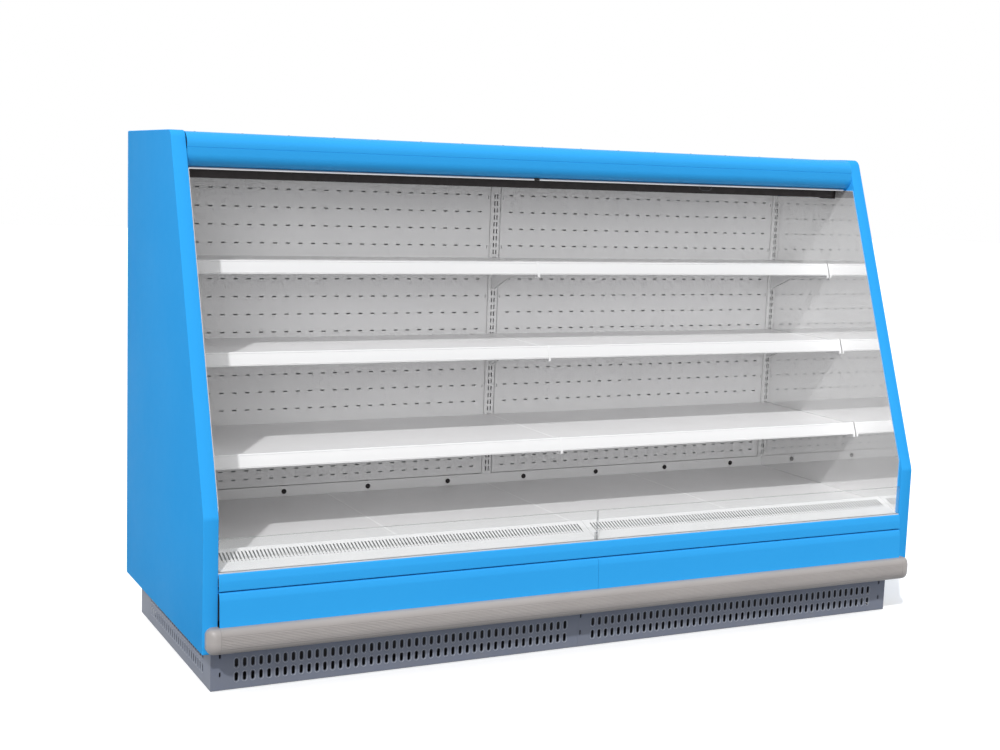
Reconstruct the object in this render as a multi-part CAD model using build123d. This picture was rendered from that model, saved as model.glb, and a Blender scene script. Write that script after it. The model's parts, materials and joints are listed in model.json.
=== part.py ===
from build123d import *
import os
from math import atan2, copysign, cos, degrees, hypot, pi, radians, sin

# Open multideck display fridge. Millimetres, +Z up, X along the case, -Y the open front.
# Everything is drawn from a front datum, the plane of the end panels' lower front edges
# (y = 0), with z = 0 on the floor, and moved onto the origin when it is written.

# ---------------------------------------------------------------- overall sizes
CASE_LENGTH = 2500.0        # clear run between the end panels
CASE_DEPTH = 960.0          # end panel, front edge to rear edge
CASE_HEIGHT = 1625.0
END_THICKNESS = 45.0
KINK_HEIGHT = 530.0         # where the front edge starts to lean back
TOP_SETBACK = 405.0         # how far the top front corner stands back
SKIRT_HEIGHT = 132.0        # underside of the end panels
END_CORNER_RADIUS = 32.0
SHEET = 1.5                 # folded steel sheet
INSULATION = 40.0           # foamed wall of the tub, rear wall and roof
JOINT = 0.5                 # clearance between neighbouring sheet pieces
SEAT = 0.3                  # clearance under a piece that lies loose on another

# ---------------------------------------------------------------- base frame and feet
FLOOR_CLEAR = 60.0          # height that the feet hold the frame at
RAIL_HEIGHT = 60.0
RAIL_WIDTH = 50.0
FRAME_WALL = 3.0
RAIL_INSET = 80.0           # front datum to the front rail
POST_WIDTH = 30.0
POST_INSET = 12.0           # posts stand inwards of their beams
FRAME_END_GAP = 15.0        # frame end to the end panel's inner plane
BEAM_WIDTH = 40.0
END_BEAM_INSET = 50.0       # end beams from the end panels' inner planes
UNIT_BEAM_GAP = 50.0        # unit's pan to the beam beside it
FOOT_PAD_RADIUS = 22.0
FOOT_PAD_HEIGHT = 12.0
FOOT_PAD_TAPER = 25.0
FOOT_STEM_RADIUS = 8.0

# ---------------------------------------------------------------- plinth
PLINTH_INSET = 54.0         # front and rear, from the end panels' edges
PLINTH_OUTSET = 5.0         # beyond the inner plane of the end panels
PLINTH_GROUND_GAP = 2.0
PLINTH_SPLIT_X = -22.0      # fixing slot at the joint of the two front panels
PLINTH_RETURN = 14.0        # flange lying on the base frame
SLOT_WIDTH = 10.0
SLOT_HEIGHT = 26.5
SLOT_PITCH = 25.0
SLOT_ROWS = (38.5, 80.5)    # row centres on the front panels
SLOT_END_MARGIN = 78.0      # plinth end to the first slot
SLOT_SPLIT_MARGIN = 50.0    # joint's fixing slot to the nearest slots
FIXING_WIDTH = 6.0
FIXING_HEIGHT = 15.0
FIXING_ROWS = (49.0, 105.0)
FIXING_INSET = 28.0         # plinth end to its fixing hole

# ---------------------------------------------------------------- insulated body
TUB_BOTTOM = 225.0
TUB_WALL_TOP = 350.0        # top of the tub's front wall
TUB_FRONT = 12.0
BODY_REAR_GAP = 5.0         # rear wall to the end panels' rear edge
ROOF_SETBACK = 69.0         # roof and air outlet behind the end panels' top corners

# ---------------------------------------------------------------- fascia and bumper
FASCIA_TOP = 366.5
FASCIA_SPLIT = 315.0        # shadow gap between upper and lower fascia
FASCIA_GAP = 4.0
FASCIA_BOTTOM = 216.0
FASCIA_SPLIT_PROUD = 9.0    # how far the fascia leans out at the shadow gap
FASCIA_BOTTOM_PROUD = 17.0
APRON_BOTTOM = 134.0
APRON_RETURN = 40.0
BUMPER_TOP = 213.0
BUMPER_BOTTOM = 136.0
BUMPER_DEPTH = 40.0
BUMPER_SHOULDER = 14.0      # flat part of the bumper's top and bottom
BUMPER_RIBS = 8
BUMPER_RIB_PITCH = 5.0
BUMPER_RIB_DEPTH = 1.2
BUMPER_RIB_GAP = 1.5
BUMPER_RIB_SLANT = 0.8
BUMPER_ROUNDING = (0.93, 0.82, 0.68)    # corners of the rounded edges, as shares of half its height
CAP_LENGTH = 38.0
CAP_RADIUS = 30.0
CAP_BEVEL_DEPTH = 4.0
CAP_BEVEL_HEIGHT = 12.0

# ---------------------------------------------------------------- front glass
GLASS_THICKNESS = 6.0
GLASS_TOP = 468.0
GLASS_JOINT = 3.0
CHANNEL_FRONT = 2.0
CHANNEL_WALL = 1.5
CHANNEL_FLOOR = 354.0
CHANNEL_LIP = 3.5           # channel above the fascia
CHANNEL_FIT = 0.5           # glass to channel wall
GLASS_CLIP_WIDTH = 12.0
GLASS_CLIP_TOP = 395.0

# ---------------------------------------------------------------- deck and return grille
DECK_TOP = 392.0
DECK_TRAYS = 4
DECK_FRONT = 118.0
TRAY_GAP = 2.0
TRAY_FLANGE = 15.0
BEARER_WIDTH = 22.0         # ledge that carries a tray's front or rear edge
GRILLE_FRONT_TOP = 371.5
GRILLE_REAR_TOP = 410.5
GRILLE_FLAT = 4.0
GRILLE_SLOT_PITCH = 22.8
GRILLE_SLOT_WIDTH = 10.0
GRILLE_SLOT_LENGTH = 49.0
GRILLE_END_MARGIN = 24.0
GRILLE_SLOT_REAR = 97.0     # rear end of the slots, from the front datum
GRILLE_BORDER = 6.0
GRILLE_LEDGE = 373.5        # top of the ledge under the grille's rear flange

# ---------------------------------------------------------------- back of the product space
DUCT_DEPTH = 87.0           # back panels to the rear wall
UPRIGHT_PROUD = 4.0         # upright's face in front of the back panels
UPRIGHT_WIDTH = 40.0
UPRIGHT_WALL = 2.0
HOOK_PITCH = 50.0
HOOK_SLOT_WIDTH = 3.2
HOOK_SLOT_HEIGHT = 14.0
HOOK_COLUMN = 5.3           # slot column to the upright's middle plane
HOOK_FIRST = 446.5
HOOK_TOP_MARGIN = 30.0
SILL_TOP = 428.0
SILL_LEDGE = 30.0           # ledge that carries the trays' rear edges
OUTLET_DROP = 141.0         # underside of top liner and honeycomb below the case's top
PANEL_RETURN = 14.0
PLUG_COUNT = 8
PLUG_HEIGHT = 408.0
PLUG_RADIUS = 9.0
PLUG_PROUD = 5.0
PLUG_STEM_RADIUS = 3.5
PLUG_HOLE_CLEAR = 0.3
PLUG_STEM_LENGTH = 8.0
PLUG_TAPER = 35.0
MIRROR_THICKNESS = 3.0
MIRROR_MARGIN = 6.0
MIRROR_TOP_GAP = 6.0        # under the canopy
MIRROR_REAR_GAP = 4.0       # under the top liner

# ---------------------------------------------------------------- shelves
SHELF_NAMES = ("bottom", "middle", "top")
SHELF_RAIL_TOPS = (658.0, 956.0, 1233.0)    # top edges of the rails
SHELF_SETBACK = 229.0       # rail's top edge behind the end panels' front edge
SHELF_BELOW_RAIL = 7.0      # pan's surface below the rail's top edge
SHELF_FLANGE = 28.0
SHELF_SIDE_GAP = 2.0
RAIL_SECTION_HEIGHT = 42.0
RAIL_LEAN = 16.0
RAIL_WALL = 2.5
RAIL_BACK = 11.0            # rail's top edge to the front of the pan
BRACKET_THICKNESS = 3.0
BRACKET_FRONT_DEPTH = 46.0
BRACKET_REAR_DEPTH = 114.0
BRACKET_SHOULDER = 124.0    # from the upright to where the lower edge turns down
BRACKET_SHOULDER_DEPTH = 62.0
NOSE_REACH = 5.0            # bracket's nose in front of the rail's top edge
HOOK_REACH = 8.0
HOOK_HEIGHT = 11.0

# ---------------------------------------------------------------- canopy and discharge
CANOPY_PROUD = 21.0         # canopy's face in front of the end panels' top corners
CANOPY_TOP_GAP = 3.0
CANOPY_HEIGHT = 104.0
CANOPY_UNDERSIDE = 40.0     # depth of the underside, to its lip
CANOPY_TOP_RADIUS = 40.0
CANOPY_BOTTOM_RADIUS = 32.0
CANOPY_SHEET = 2.0
HONEYCOMB_DEPTH = 86.0
HONEYCOMB_HEIGHT = 25.0
HONEYCOMB_FRAME = 2.0
HONEYCOMB_VANES = 17
CANOPY_LAP = 20.0           # canopy sheet lying on the roof
LINER_LAP = 24.0            # top liner lying over the uprights

# ---------------------------------------------------------------- night blinds
BLIND_SPLIT_X = -55.0       # where the two blinds meet
BLIND_GAP = 4.0             # split plane to each middle bracket
BAR_SHORTER = 6.0
BLIND_CLIP_KNOB = 9.5       # radius of the clip's rounded front
BLIND_END_GAP = 4.0
BLIND_BAR_LEAD = 14.0       # bar's front ahead of the canopy's lip
BLIND_BAR_DEPTH = 24.0
BLIND_BAR_HEIGHT = 7.5
ROLL_RADIUS = 19.0
ROLLER_BEHIND_LIP = 25.0
ROLLER_ABOVE_LIP = 35.0
ROLLER_PIN_RADIUS = 4.0
PIN_CLEAR = 0.05
BRACKET_PLATE = 2.5
BRACKET_HALF = 14.0
PULL_INSET = 5.0
PULL_END = 630.0            # middle of the pull to the end panel's inner plane
PULL_WIDTH = 56.0
PULL_DROP = 21.0
PULL_WIRE_RADIUS = 2.0
PULL_STEPS = 4              # straight lengths round each bend of the pull
FEW_SIDES = 8               # sides of stems, grommets, plugs
ROUND_SIDES = 12            # sides of hubs, motors, shafts
WIDE_SIDES = 24             # sides of fan openings

def fan_opening(radius):
    """Cutter for the opening that a rotor turns in."""
    return Pos(0, 0, -4 * SHEET) * bore(radius + BLADE_TIP_CLEAR, 8 * SHEET, WIDE_SIDES)


# ---------------------------------------------------------------- evaporator section
COIL_FRONT = 330.0
COIL_DEPTH = 230.0
COIL_HEIGHT = 95.0
COIL_END_GAP = 100.0
COIL_PLATE = 2.0
COIL_FIN_PITCH = 140.0
FAN_PLATE_REAR = 300.0
FAN_PLATE_FRONT = 121.0
FAN_PLATE_KNEE = 368.0      # where the plate starts to slope
EVAPORATOR_FAN_RADIUS = 70.0
EVAPORATOR_FANS = ("left", "centre", "right")

# ---------------------------------------------------------------- axial fans
BLADE_COUNT = 5
BLADE_THICKNESS = 1.6
BLADE_PITCH = 26.0
FAN_LIFT = 2.5              # hub above the motor strap's plane
BLADE_DEPTH = 12.0
BLADE_TIP_CLEAR = 4.0
HUB_RADIUS = 22.0
HUB_LENGTH = 15.0
FAN_SHAFT_RADIUS = 4.0
FAN_SHAFT_CLEAR = 0.05
STRAP_WIDTH = 14.0
STRAP_THICKNESS = 3.0
STRAP_LAP = 8.0
MOTOR_RADIUS = 28.0
MOTOR_LENGTH = 35.0

# ---------------------------------------------------------------- condensing unit
UNIT_END_GAP = 100.0        # pan to the right end panel's inner plane
UNIT_LENGTH = 800.0
UNIT_PAN_HEIGHT = 36.0
CONDENSER_INSET = 70.0      # from the left end of the pan
CONDENSER_LENGTH = 360.0
CONDENSER_SETBACK = 20.0    # coil behind the front rail
CONDENSER_DEPTH = 46.0
CONDENSER_HEIGHT = 150.0
CONDENSER_FIN_PITCH = 30.0
CONDENSER_FAN_RADIUS = 66.0
SHROUD_DEPTH = 66.0
COMPRESSOR_INSET = 220.0    # centre from the right end of the pan
COMPRESSOR_SETBACK = 350.0  # centre behind the front rail
COMPRESSOR_RADIUS = 80.0
COMPRESSOR_HEIGHT = 125.0
COMPRESSOR_SHOULDER = 28.0
DOME_TAPER = 45.0
GROMMET_RADIUS = 12.0
GROMMET_HEIGHT = 10.0
COMPRESSOR_FOOT = 4.0
BOX_INSET = 90.0
BOX_REAR_GAP = 110.0        # box to the rear rail
BOX_LENGTH = 180.0
BOX_DEPTH = 120.0
BOX_HEIGHT = 110.0
BOX_LID = 6.0
STUB_RADIUS = 5.0
STUB_LENGTH = 30.0
GLAND_RADIUS = 10.0
GLAND_LENGTH = 16.0

# ---------------------------------------------------------------- derived planes
HALF_RUN = CASE_LENGTH / 2
BODY_REAR = CASE_DEPTH - BODY_REAR_GAP
TUB_FLOOR = TUB_BOTTOM + INSULATION
BACK_FACE = BODY_REAR - INSULATION - DUCT_DEPTH
CANOPY_TOP = CASE_HEIGHT - CANOPY_TOP_GAP
CANOPY_BOTTOM = CANOPY_TOP - CANOPY_HEIGHT
CANOPY_FACE = TOP_SETBACK - CANOPY_PROUD
CANOPY_LIP = CANOPY_FACE + CANOPY_UNDERSIDE
ROOF_TOP = CANOPY_TOP - CANOPY_SHEET
ROOF_UNDER = ROOF_TOP - INSULATION
ROOF_FRONT = TOP_SETBACK + ROOF_SETBACK
LINER_HEIGHT = CASE_HEIGHT - OUTLET_DROP
MIRROR_TOP = CANOPY_BOTTOM - MIRROR_TOP_GAP
MIRROR_REAR_TOP = LINER_HEIGHT - MIRROR_REAR_GAP
RAIL_TOP = FLOOR_CLEAR + RAIL_HEIGHT
REAR_RAIL = CASE_DEPTH - RAIL_INSET - RAIL_WIDTH
PLINTH_HALF = HALF_RUN + PLINTH_OUTSET
PLINTH_TOP = RAIL_TOP + SHEET
PLINTH_REAR = CASE_DEPTH - PLINTH_INSET
INNER_FACE = HALF_RUN - MIRROR_THICKNESS
INNER_END = INNER_FACE - JOINT
END_COLUMN = INNER_END - 4.0
UNIT_FLOOR = FLOOR_CLEAR + FRAME_WALL + SHEET
FRONT_SLOPE = TOP_SETBACK / (CASE_HEIGHT - KINK_HEIGHT)
UPRIGHT_FACE = BACK_FACE - UPRIGHT_PROUD
CHANNEL_REAR = CHANNEL_FRONT + 2 * (CHANNEL_WALL + CHANNEL_FIT) + GLASS_THICKNESS
GLASS_FRONT = CHANNEL_FRONT + CHANNEL_WALL + CHANNEL_FIT
TRAY_UNDER = DECK_TOP - SHEET
BEARER_TOP = TRAY_UNDER - SEAT
GRILLE_FRONT = CHANNEL_REAR + JOINT
GRILLE_REAR = DECK_FRONT - TRAY_GAP
HONEYCOMB_FRONT = ROOF_FRONT
BLIND_BAR_FRONT = CANOPY_LIP - BLIND_BAR_LEAD
ROLLER_Y = CANOPY_LIP + ROLLER_BEHIND_LIP
ROLLER_Z = CANOPY_BOTTOM + ROLLER_ABOVE_LIP
UNIT_RIGHT = HALF_RUN - UNIT_END_GAP
UNIT_LEFT = UNIT_RIGHT - UNIT_LENGTH
END_BEAM = HALF_RUN - END_BEAM_INSET
UNIT_BEAM = UNIT_LEFT - UNIT_BEAM_GAP
BEAM_X = (-END_BEAM, (UNIT_BEAM - END_BEAM) / 2, UNIT_BEAM, END_BEAM)
CONDENSER_LEFT = UNIT_LEFT + CONDENSER_INSET
CONDENSER_FRONT = RAIL_INSET + RAIL_WIDTH + CONDENSER_SETBACK
COMPRESSOR_X = UNIT_RIGHT - COMPRESSOR_INSET
COMPRESSOR_Y = RAIL_INSET + RAIL_WIDTH + COMPRESSOR_SETBACK
BOX_X = UNIT_LEFT + BOX_INSET
BOX_Y = REAR_RAIL - BOX_REAR_GAP - BOX_DEPTH
FRONT_SHIFT = BUMPER_DEPTH - (CASE_DEPTH + BUMPER_DEPTH) / 2


# ---------------------------------------------------------------- drawing helpers
def face_yz(points):
    """Flat face across the case, from its y, z corners, facing +x."""
    face = Plane.YZ * make_face(Polyline(*points, close=True))
    return face if face.face().normal_at().X > 0 else -face.face()


def along(face, start, end):
    """Extrude a face that lies across the case from x = start to x = end."""
    return Pos(start, 0, 0) * extrude(face, amount=end - start)


def block(x, y, z):
    """Box between two x, two y and two z values."""
    size = (x[1] - x[0], y[1] - y[0], z[1] - z[0])
    centre = ((x[0] + x[1]) / 2, (y[0] + y[1]) / 2, (z[0] + z[1]) / 2)
    return Pos(*centre) * Box(*size)


def rod(radius, length, sides):
    """Many-sided rod standing on the origin, its corners on the radius."""
    return extrude(RegularPolygon(radius, sides), amount=length)


def bore(radius, length, sides):
    """Many-sided cutter standing on the origin, its flats on the radius."""
    return extrude(RegularPolygon(radius, sides, major_radius=False), amount=length)


def spread(start, end, pitch):
    """Places from a start, a pitch apart, as far as an end."""
    return [start + pitch * i for i in range(int((end - start) // pitch) + 1)]


def offset_path(path, distance):
    """Path moved to its left by a distance, with mitred corners."""
    normals = []
    for (y0, z0), (y1, z1) in zip(path, path[1:]):
        length = hypot(y1 - y0, z1 - z0)
        normals.append(((z0 - z1) / length, (y1 - y0) / length))
    moved = []
    for index, (y, z) in enumerate(path):
        before = normals[max(index - 1, 0)]
        after = normals[min(index, len(normals) - 1)]
        share = distance / (1 + before[0] * after[0] + before[1] * after[1])
        moved.append((y + (before[0] + after[0]) * share, z + (before[1] + after[1]) * share))
    return moved


def folded(path, start, end, thickness=SHEET):
    """Sheet folded along a y, z path, its thickness to the left, running from start to end."""
    return along(face_yz(path + offset_path(path, thickness)[::-1]), start, end)


def rectangle_wires(centres, width, height):
    """Small rectangles as wires in the XY plane, for punching."""
    half_x = width / 2
    half_y = height / 2
    corners = ((-half_x, -half_y), (half_x, -half_y), (half_x, half_y), (-half_x, half_y))
    return [Wire.make_polygon([(x + dx, y + dy, 0) for dx, dy in corners], close=True) for x, y in centres]


def punched_sheet(width, height, holes, thickness=SHEET):
    """Sheet standing on y = 0 with its middle at x = 0, punched with wires, thickness towards +z."""
    corners = [(-width / 2, 0, 0), (width / 2, 0, 0), (width / 2, height, 0), (-width / 2, height, 0)]
    face = Face(Wire.make_polygon(corners, close=True), holes)
    return extrude(face, amount=thickness, dir=(0, 0, 1))


def front_at(height):
    """How far the end panel's front edge stands back at a height."""
    return max(0.0, (height - KINK_HEIGHT) * FRONT_SLOPE)


def halves(gap):
    """Start and end of the left and the right half of the run."""
    return {"left": (-HALF_RUN + gap, -gap), "right": (gap, HALF_RUN - gap)}


def group(solids):
    """Separate solids kept together as one sub-part."""
    return Compound(children=list(solids))


# ---------------------------------------------------------------- base frame and feet
def channel_rail(front, height, opens_back):
    """C-section rail lying along the case."""
    depth = RAIL_WIDTH if opens_back else -RAIL_WIDTH
    web = front if opens_back else front + RAIL_WIDTH
    wall = FRAME_WALL if opens_back else -FRAME_WALL
    points = [(web, height), (web + depth, height), (web + depth, height + FRAME_WALL),
              (web + wall, height + FRAME_WALL), (web + wall, height + RAIL_HEIGHT - FRAME_WALL),
              (web + depth, height + RAIL_HEIGHT - FRAME_WALL), (web + depth, height + RAIL_HEIGHT),
              (web, height + RAIL_HEIGHT)]
    end = HALF_RUN - FRAME_END_GAP
    return along(face_yz(points), -end, end)


def base_frame():
    """Two C-rails, cross beams between them and angle posts under the tub."""
    frame = channel_rail(RAIL_INSET, FLOOR_CLEAR, True) + channel_rail(REAR_RAIL, FLOOR_CLEAR, False)
    front = RAIL_INSET + FRAME_WALL
    rear = REAR_RAIL + RAIL_WIDTH - FRAME_WALL
    for x in BEAM_X:
        web = (x - BEAM_WIDTH / 2, x - BEAM_WIDTH / 2 + FRAME_WALL)
        top = (x - BEAM_WIDTH / 2, x + BEAM_WIDTH / 2)
        inside = (FLOOR_CLEAR + FRAME_WALL, RAIL_TOP - FRAME_WALL)
        frame += block(web, (front, rear), inside)
        frame += block(top, (front + RAIL_WIDTH, rear - RAIL_WIDTH), (RAIL_TOP - FRAME_WALL, RAIL_TOP))
        start = x - POST_WIDTH / 2 - copysign(POST_INSET, x)
        for y in (RAIL_INSET + RAIL_WIDTH - POST_WIDTH, rear - POST_WIDTH):
            frame += block((start, start + POST_WIDTH), (y, y + FRAME_WALL), (RAIL_TOP, TUB_BOTTOM))
            frame += block((start, start + FRAME_WALL), (y, y + POST_WIDTH), (RAIL_TOP, TUB_BOTTOM))
    return frame


def levelling_feet():
    """Pads on threaded stems under the ends and middle of both rails."""
    feet = []
    for x in (BEAM_X[0], 0.0, BEAM_X[-1]):
        for y in (RAIL_INSET + RAIL_WIDTH / 2, REAR_RAIL + RAIL_WIDTH / 2):
            pad = extrude(RegularPolygon(FOOT_PAD_RADIUS, ROUND_SIDES), amount=FOOT_PAD_HEIGHT,
                          taper=FOOT_PAD_TAPER)
            feet.append(Pos(x, y, 0) * (pad + rod(FOOT_STEM_RADIUS, FLOOR_CLEAR, FEW_SIDES)))
    return group(feet)


# ---------------------------------------------------------------- plinth
def front_slots(start, end):
    """Centres of one front panel's slots, in case x and z."""
    return [(x, z) for x in spread(start, end, SLOT_PITCH) for z in SLOT_ROWS]


def plinth_front(left, right, slots, fixings):
    """Slotted front panel with a return flange lying on the base frame."""
    middle = (left + right) / 2
    height = PLINTH_TOP - PLINTH_GROUND_GAP
    centres = [(x - middle, z - PLINTH_GROUND_GAP) for x, z in slots]
    pins = [(x - middle, z - PLINTH_GROUND_GAP) for x in fixings for z in FIXING_ROWS]
    holes = rectangle_wires(centres, SLOT_WIDTH, SLOT_HEIGHT)
    holes += rectangle_wires(pins, FIXING_WIDTH, FIXING_HEIGHT)
    sheet = punched_sheet(right - left, height, holes)
    panel = Pos(middle, PLINTH_INSET + SHEET, PLINTH_GROUND_GAP) * (Plane.XZ * sheet)
    reach = PLINTH_HALF - SHEET - JOINT
    flange = block((max(left, -reach), min(right, reach)), (PLINTH_INSET + SHEET, RAIL_INSET + PLINTH_RETURN),
                   (RAIL_TOP, PLINTH_TOP))
    return panel + flange


def plinth_side(side):
    """Side panel, its flange lying on the frame's end beam."""
    front = PLINTH_INSET + SHEET + JOINT
    faces = sorted((side * PLINTH_HALF, side * (PLINTH_HALF - SHEET)))
    panel = block(faces, (front, PLINTH_REAR), (PLINTH_GROUND_GAP, PLINTH_TOP))
    inner = BEAM_X[-1] + BEAM_WIDTH / 2 - PLINTH_RETURN
    span = sorted((side * inner, side * (PLINTH_HALF - SHEET)))
    flange = block(span, (RAIL_INSET + PLINTH_RETURN + JOINT, PLINTH_REAR), (RAIL_TOP, PLINTH_TOP))
    return panel + flange


# ---------------------------------------------------------------- insulated body and ends
def insulated_tub():
    """Foam-cored floor and low front wall."""
    points = [(TUB_FRONT, TUB_BOTTOM), (BODY_REAR - INSULATION, TUB_BOTTOM),
              (BODY_REAR - INSULATION, TUB_FLOOR), (TUB_FRONT + INSULATION, TUB_FLOOR),
              (TUB_FRONT + INSULATION, TUB_WALL_TOP), (TUB_FRONT, TUB_WALL_TOP)]
    return along(face_yz(points), -HALF_RUN, HALF_RUN)


def rear_wall():
    """Foam-cored wall from the tub's underside up to the roof."""
    return block((-HALF_RUN, HALF_RUN), (BODY_REAR - INSULATION, BODY_REAR), (TUB_BOTTOM, ROOF_UNDER))


def end_outline():
    """End panel's y, z corners."""
    return [(0, SKIRT_HEIGHT), (0, KINK_HEIGHT), (TOP_SETBACK, CASE_HEIGHT),
            (CASE_DEPTH, CASE_HEIGHT), (CASE_DEPTH, SKIRT_HEIGHT)]


def end_panel(side):
    """Foam-cored end with the leaning front edge and a rounded top front corner."""
    start = HALF_RUN if side > 0 else -HALF_RUN - END_THICKNESS
    panel = along(face_yz(end_outline()), start, start + END_THICKNESS)
    corner = [edge for edge in panel.edges().filter_by(Axis.X)
              if abs(edge.center().Y - TOP_SETBACK) < 1 and abs(edge.center().Z - CASE_HEIGHT) < 1]
    return fillet(corner, END_CORNER_RADIUS)


def mirror_outline():
    """Mirror's y, z corners: inside the front edge, down to the tub, up to the discharge."""
    lean = MIRROR_MARGIN * hypot(1, FRONT_SLOPE)
    front = CHANNEL_REAR + MIRROR_MARGIN
    knee = KINK_HEIGHT + (front - lean) / FRONT_SLOPE
    return [(front, TUB_WALL_TOP), (front, knee), (front_at(MIRROR_TOP) + lean, MIRROR_TOP),
            (HONEYCOMB_FRONT - MIRROR_MARGIN, MIRROR_TOP), (HONEYCOMB_FRONT - MIRROR_MARGIN, MIRROR_REAR_TOP),
            (BODY_REAR - INSULATION, MIRROR_REAR_TOP), (BODY_REAR - INSULATION, TUB_WALL_TOP)]


def end_mirrors():
    face = face_yz(mirror_outline())
    return group([along(face, -HALF_RUN, -INNER_FACE), along(face, INNER_FACE, HALF_RUN)])


# ---------------------------------------------------------------- canopy
def canopy_fascia():
    """Rounded canopy front, one sheet from the roof round to the underside lip."""
    def skin(inset):
        top = CANOPY_TOP - inset
        bottom = CANOPY_BOTTOM + inset
        face = CANOPY_FACE + inset
        upper = CANOPY_TOP_RADIUS - inset
        lower = CANOPY_BOTTOM_RADIUS - inset
        roof = Line((ROOF_FRONT + CANOPY_LAP, top), (face + upper, top))
        brow = RadiusArc((face + upper, top), (face, top - upper), upper)
        front = Line((face, top - upper), (face, bottom + lower))
        chin = RadiusArc((face, bottom + lower), (face + lower, bottom), lower)
        under = Line((face + lower, bottom), (CANOPY_LIP, bottom))
        return roof, brow, front, chin, under
    outer = Curve() + [edge for edge in skin(0)]
    inner = Curve() + [edge for edge in skin(CANOPY_SHEET)]
    ends = [Line((ROOF_FRONT + CANOPY_LAP, CANOPY_TOP), (ROOF_FRONT + CANOPY_LAP, CANOPY_TOP - CANOPY_SHEET)),
            Line((CANOPY_LIP, CANOPY_BOTTOM), (CANOPY_LIP, CANOPY_BOTTOM + CANOPY_SHEET))]
    section = Plane.YZ * make_face(outer.edges() + inner.edges() + ends)
    section = section if section.face().normal_at().X > 0 else -section.face()
    return along(section, -HALF_RUN, HALF_RUN)


def discharge_honeycomb():
    """Framed air outlet: front plate up to the roof, side frame and vanes."""
    rear = HONEYCOMB_FRONT + HONEYCOMB_DEPTH
    top = LINER_HEIGHT + HONEYCOMB_HEIGHT
    plate = folded([(HONEYCOMB_FRONT + PANEL_RETURN, ROOF_UNDER), (HONEYCOMB_FRONT, ROOF_UNDER),
                    (HONEYCOMB_FRONT, LINER_HEIGHT)], -INNER_END, INNER_END)
    ladder = block((-INNER_END, INNER_END), (rear - HONEYCOMB_FRAME, rear), (LINER_HEIGHT, top))
    count = HONEYCOMB_VANES
    for i in range(count):
        x = -INNER_END + HONEYCOMB_FRAME / 2 + i * (2 * INNER_END - HONEYCOMB_FRAME) / (count - 1)
        ladder += block((x - HONEYCOMB_FRAME / 2, x + HONEYCOMB_FRAME / 2),
                        (HONEYCOMB_FRONT + SHEET, rear - HONEYCOMB_FRAME), (LINER_HEIGHT, top))
    return plate + ladder


def top_liner():
    """Ceiling of the product space, from the air outlet back onto the uprights."""
    front = HONEYCOMB_FRONT + HONEYCOMB_DEPTH
    path = [(BACK_FACE + LINER_LAP, LINER_HEIGHT + SHEET), (front + SHEET, LINER_HEIGHT + SHEET),
            (front + SHEET, LINER_HEIGHT + HONEYCOMB_HEIGHT)]
    return folded(path, -INNER_END, INNER_END)


# ---------------------------------------------------------------- back of the product space
def upright_section(face, middle, half_left, half_right):
    """U-section in plan, closed towards the front, up to the rear wall."""
    rear = BODY_REAR - INSULATION
    left = middle - half_left
    right = middle + half_right
    outer = Rectangle(right - left, rear - face)
    inner = Rectangle(right - left - 2 * UPRIGHT_WALL, rear - face)
    centre = ((left + right) / 2, (face + rear) / 2)
    return Pos(*centre, 0) * (outer - Pos(0, UPRIGHT_WALL, 0) * inner)


def upright(middle, half_left, half_right, columns):
    """Slotted upright; below the sill's top it stands behind the sill."""
    section = upright_section(UPRIGHT_FACE, middle, half_left, half_right)
    foot = upright_section(BACK_FACE + SHEET, middle, half_left, half_right)
    shelf_zone = Pos(0, 0, SILL_TOP) * extrude(section, amount=LINER_HEIGHT - SILL_TOP)
    foot_zone = Pos(0, 0, TUB_FLOOR) * extrude(foot, amount=SILL_TOP - TUB_FLOOR)
    slots = []
    for x in columns:
        for z in spread(HOOK_FIRST, LINER_HEIGHT - HOOK_TOP_MARGIN, HOOK_PITCH):
            slots.append(block((x - HOOK_SLOT_WIDTH / 2, x + HOOK_SLOT_WIDTH / 2),
                               (UPRIGHT_FACE - 1, UPRIGHT_FACE + UPRIGHT_WALL + 1),
                               (z - HOOK_SLOT_HEIGHT / 2, z + HOOK_SLOT_HEIGHT / 2)))
    return shelf_zone + foot_zone - slots


def back_panel(left, right):
    """Back panel between two uprights, with returns all round."""
    bottom = SILL_TOP + JOINT
    panel = folded([(BACK_FACE + PANEL_RETURN, LINER_HEIGHT), (BACK_FACE, LINER_HEIGHT),
                    (BACK_FACE, bottom), (BACK_FACE + PANEL_RETURN, bottom)], left, right)
    for x in (left, right - SHEET):
        panel += block((x, x + SHEET), (BACK_FACE, BACK_FACE + PANEL_RETURN), (bottom, LINER_HEIGHT))
    return panel


def plug_places():
    pitch = 2 * HALF_RUN / PLUG_COUNT
    return [-HALF_RUN + pitch * (i + 0.5) for i in range(PLUG_COUNT)]


def back_sill():
    """Plain strip under the back panels, with the ledge that carries the trays."""
    foot = BEARER_TOP - SHEET
    wall = block((-INNER_END, INNER_END), (BACK_FACE, BACK_FACE + SHEET), (foot, SILL_TOP))
    ledge = block((-INNER_END, INNER_END), (BACK_FACE - SILL_LEDGE, BACK_FACE), (foot, BEARER_TOP))
    sill = wall + ledge
    for x in plug_places():
        hole = rod(PLUG_STEM_RADIUS + PLUG_HOLE_CLEAR, 4 * SHEET, FEW_SIDES)
        sill -= Pos(x, BACK_FACE - SHEET, PLUG_HEIGHT) * Rot(-90, 0, 0) * hole
    return sill


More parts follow.
